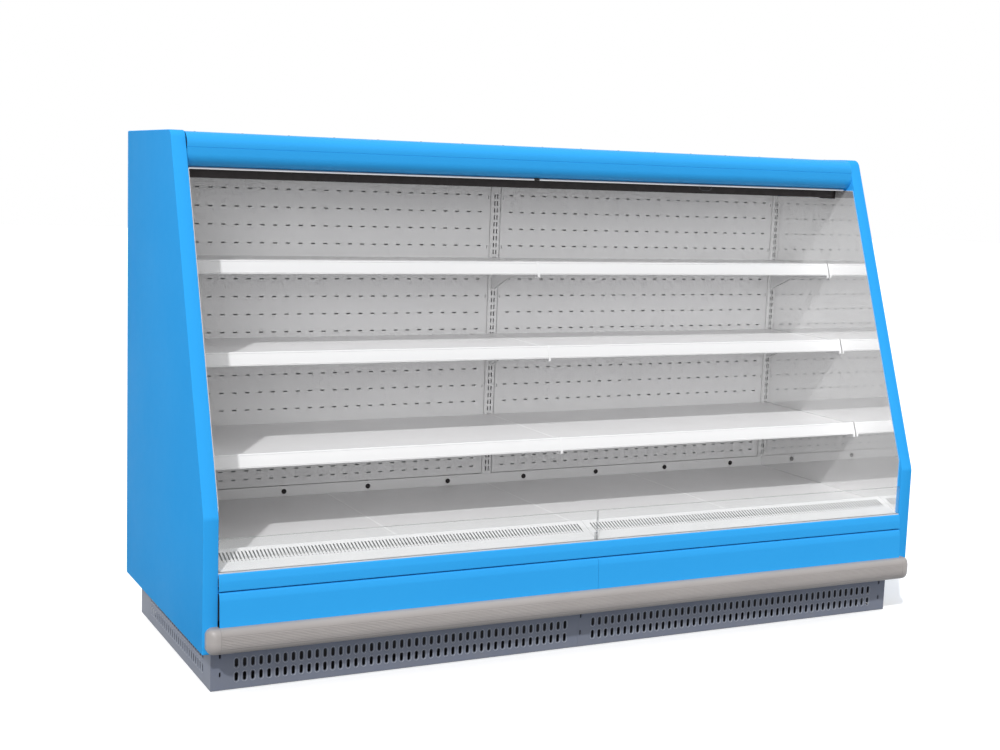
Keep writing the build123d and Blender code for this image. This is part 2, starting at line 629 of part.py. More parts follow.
def back_plugs():
    """Push-in plugs with bevelled heads."""
    head = extrude(RegularPolygon(PLUG_RADIUS, FEW_SIDES), amount=PLUG_PROUD, taper=PLUG_TAPER)
    stem = Rot(180, 0, 0) * rod(PLUG_STEM_RADIUS, PLUG_STEM_LENGTH, FEW_SIDES)
    plug = Rot(90, 0, 0) * (head + stem)
    return group([Pos(x, BACK_FACE, PLUG_HEIGHT) * plug for x in plug_places()])


# ---------------------------------------------------------------- deck, grilles and front
def deck_tray(index):
    """Lift-out tray: front flange, and side flanges that stop short of the bearers."""
    width = 2 * INNER_END / DECK_TRAYS
    left = -INNER_END + width * index + TRAY_GAP / 2
    right = left + width - TRAY_GAP
    rear = UPRIGHT_FACE - TRAY_GAP
    tray = block((left, right), (DECK_FRONT, rear), (TRAY_UNDER, DECK_TOP))
    tray += block((left, right), (DECK_FRONT, DECK_FRONT + SHEET), (DECK_TOP - TRAY_FLANGE, DECK_TOP))
    between_ledges = (DECK_FRONT + BEARER_WIDTH + 3 * TRAY_GAP, BACK_FACE - SILL_LEDGE - TRAY_GAP)
    for x in (left, right - SHEET):
        tray += block((x, x + SHEET), between_ledges, (DECK_TOP - TRAY_FLANGE, DECK_TOP))
    return tray


def return_grille(left, right):
    """Sloping air-return grille with a row of slots, standing on two flanges."""
    crest = (GRILLE_REAR - GRILLE_FLAT, GRILLE_REAR_TOP)
    foot = (GRILLE_FRONT, GRILLE_FRONT_TOP)
    run = hypot(crest[0] - foot[0], crest[1] - foot[1])
    step = ((foot[0] - crest[0]) / run, (foot[1] - crest[1]) / run)
    slot_start = (crest[0] - GRILLE_SLOT_REAR) / -step[0]
    upper_end = slot_start - GRILLE_BORDER
    lower_start = slot_start + GRILLE_SLOT_LENGTH + GRILLE_BORDER

    def on_slope(distance):
        return (crest[0] + step[0] * distance, crest[1] + step[1] * distance)

    rear = folded([(GRILLE_REAR, GRILLE_LEDGE + SEAT), (GRILLE_REAR, GRILLE_REAR_TOP), crest,
                   on_slope(upper_end)], left, right)
    front = folded([on_slope(lower_start), foot, (GRILLE_FRONT, TUB_WALL_TOP + SEAT)], left, right)
    length = lower_start - upper_end
    half = (right - left) / 2 - GRILLE_END_MARGIN
    row = spread(-half, half, GRILLE_SLOT_PITCH)
    centres = [(x + (half - row[-1]) / 2, length / 2) for x in row]
    holes = rectangle_wires(centres, GRILLE_SLOT_WIDTH, GRILLE_SLOT_LENGTH)
    sheet = punched_sheet(right - left, length, holes)
    start = on_slope(lower_start)
    angle = degrees(atan2(-step[1], -step[0]))
    slotted = Pos((left + right) / 2, start[0], start[1]) * Rot(angle, 0, 0) * Pos(0, 0, -SHEET) * sheet
    return rear + slotted + front


def upper_fascia():
    """Top strip of the front, its foot fixed to the tub wall."""
    foot = FASCIA_SPLIT + FASCIA_GAP / 2
    path = [(CHANNEL_FRONT, FASCIA_TOP), (0.0, FASCIA_TOP), (-FASCIA_SPLIT_PROUD, foot), (TUB_FRONT, foot)]
    return folded(path, -HALF_RUN, HALF_RUN)


def lower_fascia(left, right):
    """Leaning lower strip, running down behind the bumper to a stiffening return."""
    top = FASCIA_SPLIT - FASCIA_GAP / 2
    path = [(TUB_FRONT, top), (-FASCIA_SPLIT_PROUD, top), (-FASCIA_BOTTOM_PROUD, FASCIA_BOTTOM),
            (-FASCIA_BOTTOM_PROUD, APRON_BOTTOM), (-FASCIA_BOTTOM_PROUD + APRON_RETURN, APRON_BOTTOM)]
    return folded(path, left, right)


def bumper_profile(start):
    """Bumper's y, z corners: flat back and shoulders, rounded front with fine ribs."""
    half = (BUMPER_TOP - BUMPER_BOTTOM) / 2
    middle = (BUMPER_TOP + BUMPER_BOTTOM) / 2
    shoulder = -FASCIA_BOTTOM_PROUD - BUMPER_SHOULDER
    bulge = BUMPER_DEPTH - FASCIA_BOTTOM_PROUD - BUMPER_SHOULDER
    rib_half = BUMPER_RIBS * BUMPER_RIB_PITCH / 2
    front = shoulder - bulge
    rounding = [(shoulder - bulge * (1 - t ** 4), half * t) for t in BUMPER_ROUNDING]
    points = [(start, BUMPER_BOTTOM), (shoulder, BUMPER_BOTTOM)]
    points += [(y, middle - rise) for y, rise in rounding]
    for i in range(BUMPER_RIBS):
        low = middle - rib_half + BUMPER_RIB_PITCH * i + BUMPER_RIB_GAP / 2
        high = low + BUMPER_RIB_PITCH - BUMPER_RIB_GAP
        points += [(front + BUMPER_RIB_DEPTH, low), (front, low + BUMPER_RIB_SLANT),
                   (front, high - BUMPER_RIB_SLANT), (front + BUMPER_RIB_DEPTH, high)]
    points += [(y, middle + rise) for y, rise in reversed(rounding)]
    return points + [(shoulder, BUMPER_TOP), (start, BUMPER_TOP)]


def bumper_rail():
    return along(face_yz(bumper_profile(-FASCIA_BOTTOM_PROUD)), -HALF_RUN + JOINT, HALF_RUN - JOINT)


def bumper_end_caps():
    """Rounded ends of the bumper, on the end panels' front edges."""
    edge = -BUMPER_DEPTH + CAP_BEVEL_DEPTH
    section = [(0, BUMPER_BOTTOM), (edge, BUMPER_BOTTOM), (-BUMPER_DEPTH, BUMPER_BOTTOM + CAP_BEVEL_HEIGHT),
               (-BUMPER_DEPTH, BUMPER_TOP - CAP_BEVEL_HEIGHT), (edge, BUMPER_TOP), (0, BUMPER_TOP)]
    cap = along(face_yz(section), HALF_RUN, HALF_RUN + CAP_LENGTH)
    plan = block((HALF_RUN, HALF_RUN + CAP_LENGTH), (-BUMPER_DEPTH, 0), (BUMPER_BOTTOM, BUMPER_TOP))
    corner = [edge for edge in plan.edges().filter_by(Axis.Z)
              if edge.center().X > HALF_RUN + CAP_LENGTH - 1 and edge.center().Y < -BUMPER_DEPTH + 1]
    cap = cap & fillet(corner, CAP_RADIUS)
    return group([cap, mirror(cap, about=Plane.YZ)])


def front_glass():
    """Two panes standing in the channel."""
    thickness = (GLASS_FRONT, GLASS_FRONT + GLASS_THICKNESS)
    height = (CHANNEL_FLOOR + CHANNEL_WALL + SEAT, GLASS_TOP)
    return group([block((-HALF_RUN + JOINT, -GLASS_JOINT / 2), thickness, height),
                  block((GLASS_JOINT / 2, HALF_RUN - JOINT), thickness, height)])


def glass_channel():
    """Channel that holds the front glass, its leg on the tub's front wall, and the joint clip."""
    floor = (CHANNEL_FLOOR, CHANNEL_FLOOR + CHANNEL_WALL)
    top = FASCIA_TOP + CHANNEL_LIP
    ends = (-HALF_RUN, HALF_RUN)
    channel = block(ends, (CHANNEL_FRONT, CHANNEL_FRONT + CHANNEL_WALL), (CHANNEL_FLOOR, top))
    channel += block(ends, (CHANNEL_FRONT, CHANNEL_REAR), floor)
    channel += block(ends, (CHANNEL_REAR - CHANNEL_WALL, CHANNEL_REAR), (FASCIA_SPLIT + 3 * FASCIA_GAP, top))
    clip = block((-GLASS_CLIP_WIDTH / 2, GLASS_CLIP_WIDTH / 2), (CHANNEL_REAR - CHANNEL_WALL, CHANNEL_REAR),
                 (top, GLASS_CLIP_TOP))
    return channel + clip


# ---------------------------------------------------------------- shelves
def rail_edge(height):
    """Top front edge of a shelf's rail, as y and z."""
    return front_at(height) + SHELF_SETBACK, height


def shelf_pans(edge):
    """Two pans side by side, folded down along the front."""
    top = edge[1] - SHELF_BELOW_RAIL
    front = edge[0] + RAIL_BACK
    rear = UPRIGHT_FACE - SHELF_SIDE_GAP
    path = [(rear, top), (front, top), (front, top - SHELF_FLANGE)]
    return group([folded(path, -INNER_END + SHELF_SIDE_GAP, -JOINT / 2),
                  folded(path, JOINT / 2, INNER_END - SHELF_SIDE_GAP)])


def price_rails(edge):
    """Leaning label rails, clipped over the front of the pans."""
    y, z = edge
    back = y + RAIL_BACK
    path = [(back, z - SHELF_FLANGE), (back, z), (y, z), (y - RAIL_LEAN, z - RAIL_SECTION_HEIGHT)]
    return group([folded(path, -INNER_END + SHELF_SIDE_GAP, -JOINT / 2, RAIL_WALL),
                  folded(path, JOINT / 2, INNER_END - SHELF_SIDE_GAP, RAIL_WALL)])


def hook_heights(underside):
    """Centres of the two upright slots that a bracket under a pan hooks into."""
    index = int((underside - HOOK_HEIGHT / 2 - SHELF_SIDE_GAP - HOOK_FIRST) // HOOK_PITCH)
    return [HOOK_FIRST + HOOK_PITCH * (index - step) for step in (0, 1)]


def shelf_bracket(edge, middle):
    """Tapering plate under the end of a pan, with two hooks through the upright."""
    y, z = edge
    under = z - SHELF_BELOW_RAIL - SHEET
    front = y + RAIL_BACK + SHEET
    nose = z - RAIL_SECTION_HEIGHT - SHELF_SIDE_GAP
    tip = y - NOSE_REACH
    points = [(front, under), (front, nose), (tip, nose), (tip, under - BRACKET_FRONT_DEPTH),
              (UPRIGHT_FACE - BRACKET_SHOULDER, under - BRACKET_SHOULDER_DEPTH),
              (UPRIGHT_FACE, under - BRACKET_REAR_DEPTH),
              (UPRIGHT_FACE, under)]
    sides = (middle - BRACKET_THICKNESS / 2, middle + BRACKET_THICKNESS / 2)
    bracket = along(face_yz(points), *sides)
    for height in hook_heights(under):
        bracket += block(sides, (UPRIGHT_FACE - HOOK_REACH, UPRIGHT_FACE + HOOK_REACH),
                         (height - HOOK_HEIGHT / 2, height + HOOK_HEIGHT / 2))
    return bracket


def shelf_brackets():
    columns = (-END_COLUMN, -HOOK_COLUMN, HOOK_COLUMN, END_COLUMN)
    return group([shelf_bracket(rail_edge(z), x) for z in SHELF_RAIL_TOPS for x in columns])


# ---------------------------------------------------------------- axial fans
def fan_rotor(radius):
    """Hub and pitched blades about +z, the hub bored from below for the motor shaft."""
    rotor = rod(HUB_RADIUS, HUB_LENGTH, ROUND_SIDES)
    reach = radius - HUB_RADIUS + 2
    chord = BLADE_DEPTH / sin(radians(BLADE_PITCH))
    for i in range(BLADE_COUNT):
        blade = Pos(HUB_RADIUS - 2 + reach / 2, 0, HUB_LENGTH / 2) * Rot(BLADE_PITCH, 0, 0) * Box(
            reach, chord, BLADE_THICKNESS)
        rotor += Rot(0, 0, 360 * i / BLADE_COUNT) * blade
    return rotor - bore(FAN_SHAFT_RADIUS + FAN_SHAFT_CLEAR, HUB_LENGTH - STRAP_THICKNESS, ROUND_SIDES)


def fan_motor(radius):
    """Motor hung from a strap across the opening, its shaft up into the rotor."""
    length = 2 * (radius + BLADE_TIP_CLEAR + STRAP_LAP)
    strap = Pos(0, 0, -STRAP_THICKNESS / 2) * Box(length, STRAP_WIDTH, STRAP_THICKNESS)
    body = Pos(0, 0, -STRAP_THICKNESS - MOTOR_LENGTH) * rod(MOTOR_RADIUS, MOTOR_LENGTH, ROUND_SIDES)
    shaft_length = FAN_LIFT + HUB_LENGTH - 2 * STRAP_THICKNESS
    return strap + body + rod(FAN_SHAFT_RADIUS, shaft_length, ROUND_SIDES)


def fan_opening(radius):
    """Cutter for the opening that a rotor turns in."""
    return Pos(0, 0, -4 * SHEET) * bore(radius + BLADE_TIP_CLEAR, 8 * SHEET, WIDE_SIDES)


# ---------------------------------------------------------------- evaporator section
def fan_slope():
    """Fan plate's slope: its upper and lower corner, and its unit step downwards."""
    upper = (FAN_PLATE_FRONT, FAN_PLATE_KNEE)
    lower = (FAN_PLATE_REAR, TUB_FLOOR)
    run = hypot(lower[0] - upper[0], lower[1] - upper[1])
    return upper, lower, ((lower[0] - upper[0]) / run, (lower[1] - upper[1]) / run)


def evaporator_fan_places():
    """Fan centres on the plate's front face, each turned so that +z points through the plate."""
    upper, lower, step = fan_slope()
    centre = ((upper[0] + lower[0]) / 2, (upper[1] + lower[1]) / 2)
    tilt = -degrees(atan2(-step[1], step[0]))
    pitch = CASE_LENGTH / len(EVAPORATOR_FANS)
    return [Pos(x, *centre) * Rot(tilt, 0, 0) for x in (-pitch, 0.0, pitch)]


def fan_plate():
    """Folded plate from the tub floor up to the ledges under the trays and grilles."""
    upper, lower, _ = fan_slope()
    path = [(upper[0] + BEARER_WIDTH, BEARER_TOP), (upper[0], BEARER_TOP), upper, lower,
            (lower[0] + BEARER_WIDTH, TUB_FLOOR)]
    plate = folded(path, -INNER_END, INNER_END)
    plate += block((-INNER_END, INNER_END), (GRILLE_REAR - BEARER_WIDTH, upper[0]),
                   (GRILLE_LEDGE - SHEET, GRILLE_LEDGE))
    for place in evaporator_fan_places():
        plate -= place * fan_opening(EVAPORATOR_FAN_RADIUS)
    return plate


def fin_pack(x, y, z, pitch):
    """Fins drawn as a comb on a base sheet, evenly spread between two end plates."""
    run = x[1] - x[0] - COIL_PLATE
    gaps = int(run // pitch)
    foot = z[0] + COIL_PLATE
    starts = [x[0] + run * i / gaps for i in range(gaps + 1)]
    fins = [block((start, start + COIL_PLATE), y, (foot, z[1])) for start in starts]
    return block(x, y, (z[0], foot)) + fins


def evaporator_coil():
    end = HALF_RUN - COIL_END_GAP
    return fin_pack((-end, end), (COIL_FRONT, COIL_FRONT + COIL_DEPTH),
                    (TUB_FLOOR, TUB_FLOOR + COIL_HEIGHT), COIL_FIN_PITCH)


# ---------------------------------------------------------------- condensing unit
def unit_base():
    """Folded pan lying in the two frame rails."""
    front = RAIL_INSET + FRAME_WALL + JOINT
    rear = REAR_RAIL + RAIL_WIDTH - FRAME_WALL - JOINT
    floor = UNIT_FLOOR - SHEET
    path = [(front, floor + UNIT_PAN_HEIGHT), (front, floor), (rear, floor), (rear, floor + UNIT_PAN_HEIGHT)]
    return folded(path, UNIT_LEFT, UNIT_RIGHT)


def compressor():
    """Domed shell on a foot plate with four rubber grommets, and its service stubs."""
    base = UNIT_FLOOR + GROMMET_HEIGHT
    plate = Pos(COMPRESSOR_X, COMPRESSOR_Y, base + COMPRESSOR_FOOT / 2) * Box(
        2 * COMPRESSOR_RADIUS + 20, 2 * COMPRESSOR_RADIUS - 10, COMPRESSOR_FOOT)
    waist = rod(COMPRESSOR_RADIUS, COMPRESSOR_HEIGHT - COMPRESSOR_SHOULDER, WIDE_SIDES)
    outline = RegularPolygon(COMPRESSOR_RADIUS, WIDE_SIDES)
    dome = extrude(outline, amount=COMPRESSOR_SHOULDER, taper=DOME_TAPER)
    shell = waist + Pos(0, 0, COMPRESSOR_HEIGHT - COMPRESSOR_SHOULDER) * dome
    shell = Pos(COMPRESSOR_X, COMPRESSOR_Y, base + COMPRESSOR_FOOT) * shell
    whole = plate + shell
    for sx in (-1, 1):
        for sy in (-1, 1):
            x = COMPRESSOR_X + sx * (COMPRESSOR_RADIUS - 2)
            y = COMPRESSOR_Y + sy * (COMPRESSOR_RADIUS - 18)
            whole += Pos(x, y, UNIT_FLOOR) * rod(GROMMET_RADIUS, GROMMET_HEIGHT, FEW_SIDES)
    for angle in (150.0, 200.0):
        stub = Rot(0, 90, 0) * rod(STUB_RADIUS, STUB_LENGTH, FEW_SIDES)
        whole += Pos(COMPRESSOR_X, COMPRESSOR_Y, base + COMPRESSOR_HEIGHT * 0.6) * Rot(0, 0, angle) * Pos(
            COMPRESSOR_RADIUS - STUB_RADIUS, 0, 0) * stub
    return whole


def condenser_coil():
    """Fin pack drawn as a comb, and the shroud behind it with the fan opening."""
    front = CONDENSER_FRONT
    rear = front + CONDENSER_DEPTH
    ends = (CONDENSER_LEFT, CONDENSER_LEFT + CONDENSER_LENGTH)
    top = UNIT_FLOOR + CONDENSER_HEIGHT
    coil = fin_pack(ends, (front, rear), (UNIT_FLOOR, top), CONDENSER_FIN_PITCH)
    plate = rear + SHROUD_DEPTH
    coil += block(ends, (rear, plate), (UNIT_FLOOR, UNIT_FLOOR + SHEET))
    coil += block(ends, (rear, plate), (top - SHEET, top))
    for x in (ends[0], ends[1] - SHEET):
        coil += block((x, x + SHEET), (rear, plate), (UNIT_FLOOR, top))
    face = block(ends, (plate - SHEET, plate), (UNIT_FLOOR, top))
    return coil + (face - condenser_fan_place() * fan_opening(CONDENSER_FAN_RADIUS))


def condenser_fan_place():
    """Fan centre on the shroud's rear face, +z pointing forwards through it."""
    middle = CONDENSER_LEFT + CONDENSER_LENGTH / 2
    plate = CONDENSER_FRONT + CONDENSER_DEPTH + SHROUD_DEPTH
    return Pos(middle, plate, UNIT_FLOOR + CONDENSER_HEIGHT / 2) * Rot(90, 0, 0)


def electrical_box():
    """Lidded box with a cable gland; the cable itself is left out."""
    top = UNIT_FLOOR + BOX_HEIGHT
    box = block((BOX_X, BOX_X + BOX_LENGTH), (BOX_Y, BOX_Y + BOX_DEPTH), (UNIT_FLOOR, top))
    rim = block((BOX_X - SHEET, BOX_X + BOX_LENGTH + SHEET), (BOX_Y - SHEET, BOX_Y + BOX_DEPTH + SHEET),
                (top, top + BOX_LID))
    gland = rod(GLAND_RADIUS, GLAND_LENGTH, FEW_SIDES) - rod(GLAND_RADIUS / 2, GLAND_LENGTH, FEW_SIDES)
    return box + rim + Pos(BOX_X + BOX_LENGTH / 2, BOX_Y + BOX_DEPTH, UNIT_FLOOR + BOX_HEIGHT / 2) * Rot(
        -90, 0, 0) * gland


# ---------------------------------------------------------------- night blinds
def blind_brackets():
    """Notched plates: two on the end panels, two hung from the canopy where the blinds meet."""
    plates = []
    for x, top in ((-HALF_RUN, ROLLER_Z + ROLL_RADIUS), (HALF_RUN - BRACKET_PLATE, ROLLER_Z + ROLL_RADIUS),
                   (BLIND_SPLIT_X - BLIND_GAP - BRACKET_PLATE, CANOPY_TOP - CANOPY_SHEET),
                   (BLIND_SPLIT_X + BLIND_GAP, CANOPY_TOP - CANOPY_SHEET)):
        plate = block((x, x + BRACKET_PLATE), (ROLLER_Y - BRACKET_HALF, ROLLER_Y + BRACKET_HALF),
                      (ROLLER_Z - BRACKET_HALF, top))
        notch = ROLLER_PIN_RADIUS + PIN_CLEAR
        plates.append(plate - block((x, x + BRACKET_PLATE), (ROLLER_Y - notch, ROLLER_Y + BRACKET_HALF),
                                    (ROLLER_Z - notch, ROLLER_Z + notch)))
    return group(plates)


def blind_span(side):
    """Start and end of one blind: the clear length of its roll."""
    end = HALF_RUN - BRACKET_PLATE - BLIND_END_GAP
    if side < 0:
        return -end, BLIND_SPLIT_X - BLIND_GAP - BRACKET_PLATE - BLIND_END_GAP
    return BLIND_SPLIT_X + BLIND_GAP + BRACKET_PLATE + BLIND_END_GAP, end


def blind_roller(side):
    """Sprung roller with the fabric wound on it, and a pin at each end."""
    left, right = blind_span(side)
    reach = BLIND_END_GAP + BRACKET_PLATE - JOINT
    roll = Pos(left, 0, 0) * Rot(0, 90, 0) * rod(ROLL_RADIUS, right - left, WIDE_SIDES)
    length = right - left + 2 * reach
    pin = Pos(left - reach, 0, 0) * Rot(0, 90, 0) * rod(ROLLER_PIN_RADIUS, length, FEW_SIDES)
    return Pos(0, ROLLER_Y, ROLLER_Z) * (roll + pin)


def blind_bar(side):
    """Bar along the blind's lower edge; the right one has a hanging pull."""
    left, right = blind_span(side)
    left = left + BAR_SHORTER if side < 0 else left
    right = right if side < 0 else right - BAR_SHORTER
    top = CANOPY_BOTTOM - SEAT
    rear = BLIND_BAR_FRONT + BLIND_BAR_DEPTH
    section = [(BLIND_BAR_FRONT, top - BLIND_BAR_HEIGHT), (rear, top - BLIND_BAR_HEIGHT), (rear, top),
               (BLIND_BAR_FRONT + 3, top), (BLIND_BAR_FRONT, top - 3)]
    bar = along(face_yz(section), left, right)
    if side < 0:
        return bar
    return bar + Pos(HALF_RUN - PULL_END, BLIND_BAR_FRONT + PULL_INSET, top - BLIND_BAR_HEIGHT) * pull_ring()


def pull_ring():
    """D-shaped wire pull hanging below the bar."""
    half = PULL_WIDTH / 2
    top = PULL_WIRE_RADIUS / 2
    bend = PULL_DROP - PULL_WIRE_RADIUS
    turns = [pi / 2 * i / PULL_STEPS for i in range(PULL_STEPS + 1)]
    left = [(-half, top)] + [(-half + bend * (1 - cos(a)), -PULL_DROP + bend * (1 - sin(a))) for a in turns]
    route = [(x, 0, z) for x, z in left] + [(-x, 0, z) for x, z in reversed(left)]
    section = Plane(origin=route[0], z_dir=(0, 0, -1)) * RegularPolygon(PULL_WIRE_RADIUS, FEW_SIDES)
    return sweep(section, path=Polyline(*route), transition=Transition.RIGHT)


def blind_clip():
    """Black clip under the canopy lip where the two blinds meet."""
    return Pos(BLIND_SPLIT_X, BLIND_BAR_FRONT + BLIND_CLIP_KNOB, CANOPY_BOTTOM - BLIND_BAR_HEIGHT) * rod(
        BLIND_CLIP_KNOB, BLIND_BAR_HEIGHT, ROUND_SIDES)


# ---------------------------------------------------------------- the whole case
def build():
    rows = halves(FASCIA_GAP / 8)
    inner_left = (-INNER_END, -JOINT)
    inner_right = (JOINT, INNER_END)
    yield "base_frame", base_frame()
    yield "levelling_feet", levelling_feet()
    slot_end = PLINTH_HALF - SLOT_END_MARGIN
    left_slots = front_slots(-slot_end, PLINTH_SPLIT_X - SLOT_SPLIT_MARGIN)
    right_slots = front_slots(PLINTH_SPLIT_X + SLOT_SPLIT_MARGIN, slot_end + JOINT * 2)
    yield "plinth_front_left", plinth_front(-PLINTH_HALF, PLINTH_SPLIT_X - FIXING_WIDTH, left_slots,
                                            [-PLINTH_HALF + FIXING_INSET])
    yield "plinth_front_right", plinth_front(PLINTH_SPLIT_X - FIXING_WIDTH + JOINT, PLINTH_HALF, right_slots,
                                             [PLINTH_SPLIT_X + FIXING_WIDTH / 2, PLINTH_HALF - FIXING_INSET])
    yield "plinth_side_left", plinth_side(-1)
    yield "plinth_side_right", plinth_side(1)
    yield "insulated_tub", insulated_tub()
    yield "rear_wall", rear_wall()
    yield "roof_panel", block((-HALF_RUN, HALF_RUN), (ROOF_FRONT, BODY_REAR), (ROOF_UNDER, ROOF_TOP))
    yield "end_panel_left", end_panel(-1)
    yield "end_panel_right", end_panel(1)
    yield "end_mirrors", end_mirrors()
    yield "canopy_fascia", canopy_fascia()
    yield "discharge_honeycomb", discharge_honeycomb()
    yield "top_liner", top_liner()
    yield "upright_left", upright(-INNER_END, 0, UPRIGHT_WIDTH / 2, [-END_COLUMN])
    yield "upright_centre", upright(0, UPRIGHT_WIDTH / 2, UPRIGHT_WIDTH / 2, [-HOOK_COLUMN, HOOK_COLUMN])
    yield "upright_right", upright(INNER_END, UPRIGHT_WIDTH / 2, 0, [END_COLUMN])
    yield "back_panel_left", back_panel(-INNER_END + UPRIGHT_WIDTH / 2, -UPRIGHT_WIDTH / 2)
    yield "back_panel_right", back_panel(UPRIGHT_WIDTH / 2, INNER_END - UPRIGHT_WIDTH / 2)
    yield "back_sill", back_sill()
    yield "back_plugs", back_plugs()
    for i in range(DECK_TRAYS):
        yield f"deck_tray_{i + 1}", deck_tray(i)
    yield "return_grille_left", return_grille(*inner_left)
    yield "return_grille_right", return_grille(*inner_right)
    yield "upper_fascia", upper_fascia()
    yield "lower_fascia_left", lower_fascia(*rows["left"])
    yield "lower_fascia_right", lower_fascia(*rows["right"])
    yield "bumper_rail", bumper_rail()
    yield "bumper_end_caps", bumper_end_caps()
    yield "front_glass", front_glass()
    yield "glass_channel", glass_channel()
    for name, height in zip(SHELF_NAMES, SHELF_RAIL_TOPS):
        yield f"shelf_pans_{name}", shelf_pans(rail_edge(height))
        yield f"price_rails_{name}", price_rails(rail_edge(height))
    yield "shelf_brackets", shelf_brackets()
    yield "evaporator_coil", evaporator_coil()
    yield "fan_plate", fan_plate()
    places = evaporator_fan_places()
    yield "evaporator_fan_motors", group([place * fan_motor(EVAPORATOR_FAN_RADIUS) for place in places])
    for name, place in zip(EVAPORATOR_FANS, places):
        yield f"evaporator_fan_{name}", place * Pos(0, 0, FAN_LIFT) * fan_rotor(EVAPORATOR_FAN_RADIUS)
    yield "unit_base", unit_base()
    yield "compressor", compressor()
    yield "condenser_coil", condenser_coil()
    yield "condenser_fan_motor", condenser_fan_place() * fan_motor(CONDENSER_FAN_RADIUS)
    yield "condenser_fan", condenser_fan_place() * Pos(0, 0, FAN_LIFT) * fan_rotor(CONDENSER_FAN_RADIUS)
    yield "electrical_box", electrical_box()
    yield "blind_brackets", blind_brackets()
    yield "blind_clip", blind_clip()
    for name, side in (("left", -1), ("right", 1)):
        yield f"blind_roller_{name}", blind_roller(side)
        yield f"blind_bar_{name}", blind_bar(side)


os.makedirs("parts", exist_ok=True)
for node, shape in build():
    solids = [Pos(0, FRONT_SHIFT, 0) * solid for solid in shape.solids()]
    export_step(solids[0] if len(solids) == 1 else group(solids), f"parts/{node}.step")
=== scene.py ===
"""Looks of the open multideck display fridge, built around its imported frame.

Sizes are in millimetres: x from the middle of the case, y back from the foot of the end panels' front edge,
z from the floor. Each piece is turned into the frame's metres as it is finished. Materials, camera and studio
are in metres."""
import json
import math

import bmesh
import bpy
from mathutils import Matrix, Vector


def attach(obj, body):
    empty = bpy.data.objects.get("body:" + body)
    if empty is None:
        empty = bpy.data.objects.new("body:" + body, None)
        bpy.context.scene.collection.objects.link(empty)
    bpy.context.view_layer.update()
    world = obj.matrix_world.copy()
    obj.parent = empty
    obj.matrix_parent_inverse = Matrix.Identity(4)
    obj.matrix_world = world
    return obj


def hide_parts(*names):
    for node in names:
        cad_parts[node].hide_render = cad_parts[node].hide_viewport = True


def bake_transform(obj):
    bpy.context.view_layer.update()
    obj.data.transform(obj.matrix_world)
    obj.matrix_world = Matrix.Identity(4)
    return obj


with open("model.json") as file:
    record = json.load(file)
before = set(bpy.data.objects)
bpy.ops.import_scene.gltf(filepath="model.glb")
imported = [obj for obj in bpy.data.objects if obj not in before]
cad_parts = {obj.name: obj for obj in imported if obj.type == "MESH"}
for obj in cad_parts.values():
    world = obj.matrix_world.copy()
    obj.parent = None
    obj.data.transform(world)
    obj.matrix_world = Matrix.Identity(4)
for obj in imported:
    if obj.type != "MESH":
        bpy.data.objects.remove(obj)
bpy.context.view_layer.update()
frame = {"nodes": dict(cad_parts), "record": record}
nodes = frame["nodes"]
FRONT_DATUM = -0.460                    # foot of the end panels' front edge in the frame, metres
TO_FRAME = Matrix.Translation((0, FRONT_DATUM, 0)) @ Matrix.Scale(0.001, 4)

# ---------------------------------------------------------------- main sizes
SHEET = 1.5
HANDS = {"left": -1, "right": 1}
HALF = 1250.0                           # middle of the case to an end panel
INNER = 1246.5                          # to the inside of the mirrors
PANEL_THICKNESS = 45.0
PANEL_FOOT = 132.0
PANEL_DEPTH = 960.0
PANEL_LEAN = 405.0                      # how far back the slanted front edge ends
CASE_TOP = 1625.0
KINK = 530.0                            # where the front edge starts to slant
SLOPE = PANEL_LEAN / (CASE_TOP - KINK)
BACK_FACE = 828.0
UPRIGHT_FACE = 824.0
SILL_TOP = 428.0                        # foot of the back panels
LINER = 1484.0                          # their top, and the foot of the air outlet


def on_side(side, x_low, x_high):
    """Two x values of the right half, as they lie on the named side."""
    return (x_low, x_high) if side == "right" else (-x_high, -x_low)


def linked(name, data):
    """New object of some data, put into the scene."""
    made = bpy.data.objects.new(name, data)
    bpy.context.scene.collection.objects.link(made)
    return made


# ---------------------------------------------------------------- camera
CAMERA_PLACE = (-2.4316, -4.5514, 1.5305)
CAMERA_YAW = math.radians(26.70)        # towards +X
CAMERA_PITCH = math.radians(7.62)       # downwards
CAMERA_ROLL = math.radians(-2.07)
CAMERA_LENS = 54.27
CAMERA_SENSOR = 36.0


def set_camera():
    """Camera at the photograph's place, turned by yaw, pitch and roll."""
    forward = Vector((math.sin(CAMERA_YAW) * math.cos(CAMERA_PITCH),
                      math.cos(CAMERA_YAW) * math.cos(CAMERA_PITCH), -math.sin(CAMERA_PITCH)))
    level = Vector((math.cos(CAMERA_YAW), -math.sin(CAMERA_YAW), 0))
    down = forward.cross(level)
    right = math.cos(CAMERA_ROLL) * level + math.sin(CAMERA_ROLL) * down
    up = math.sin(CAMERA_ROLL) * level - math.cos(CAMERA_ROLL) * down
    camera = linked("camera", bpy.data.cameras.new("camera"))
    camera.data.sensor_width = CAMERA_SENSOR
    camera.data.lens = CAMERA_LENS
    turn = Matrix((right, up, -forward)).transposed()
    camera.matrix_world = Matrix.Translation(CAMERA_PLACE) @ turn.to_4x4()
    bpy.context.scene.camera = camera


# ---------------------------------------------------------------- nodes and shader arithmetic
def feed(tree, socket, value):
    """A socket takes a link, a colour that gets full alpha, or a plain value."""
    if isinstance(value, Field):
        value = value.socket
    if isinstance(value, bpy.types.NodeSocket):
        tree.links.new(value, socket)
    elif socket.type == "RGBA" and len(value) == 3:
        socket.default_value = (*value, 1)
    else:
        socket.default_value = value


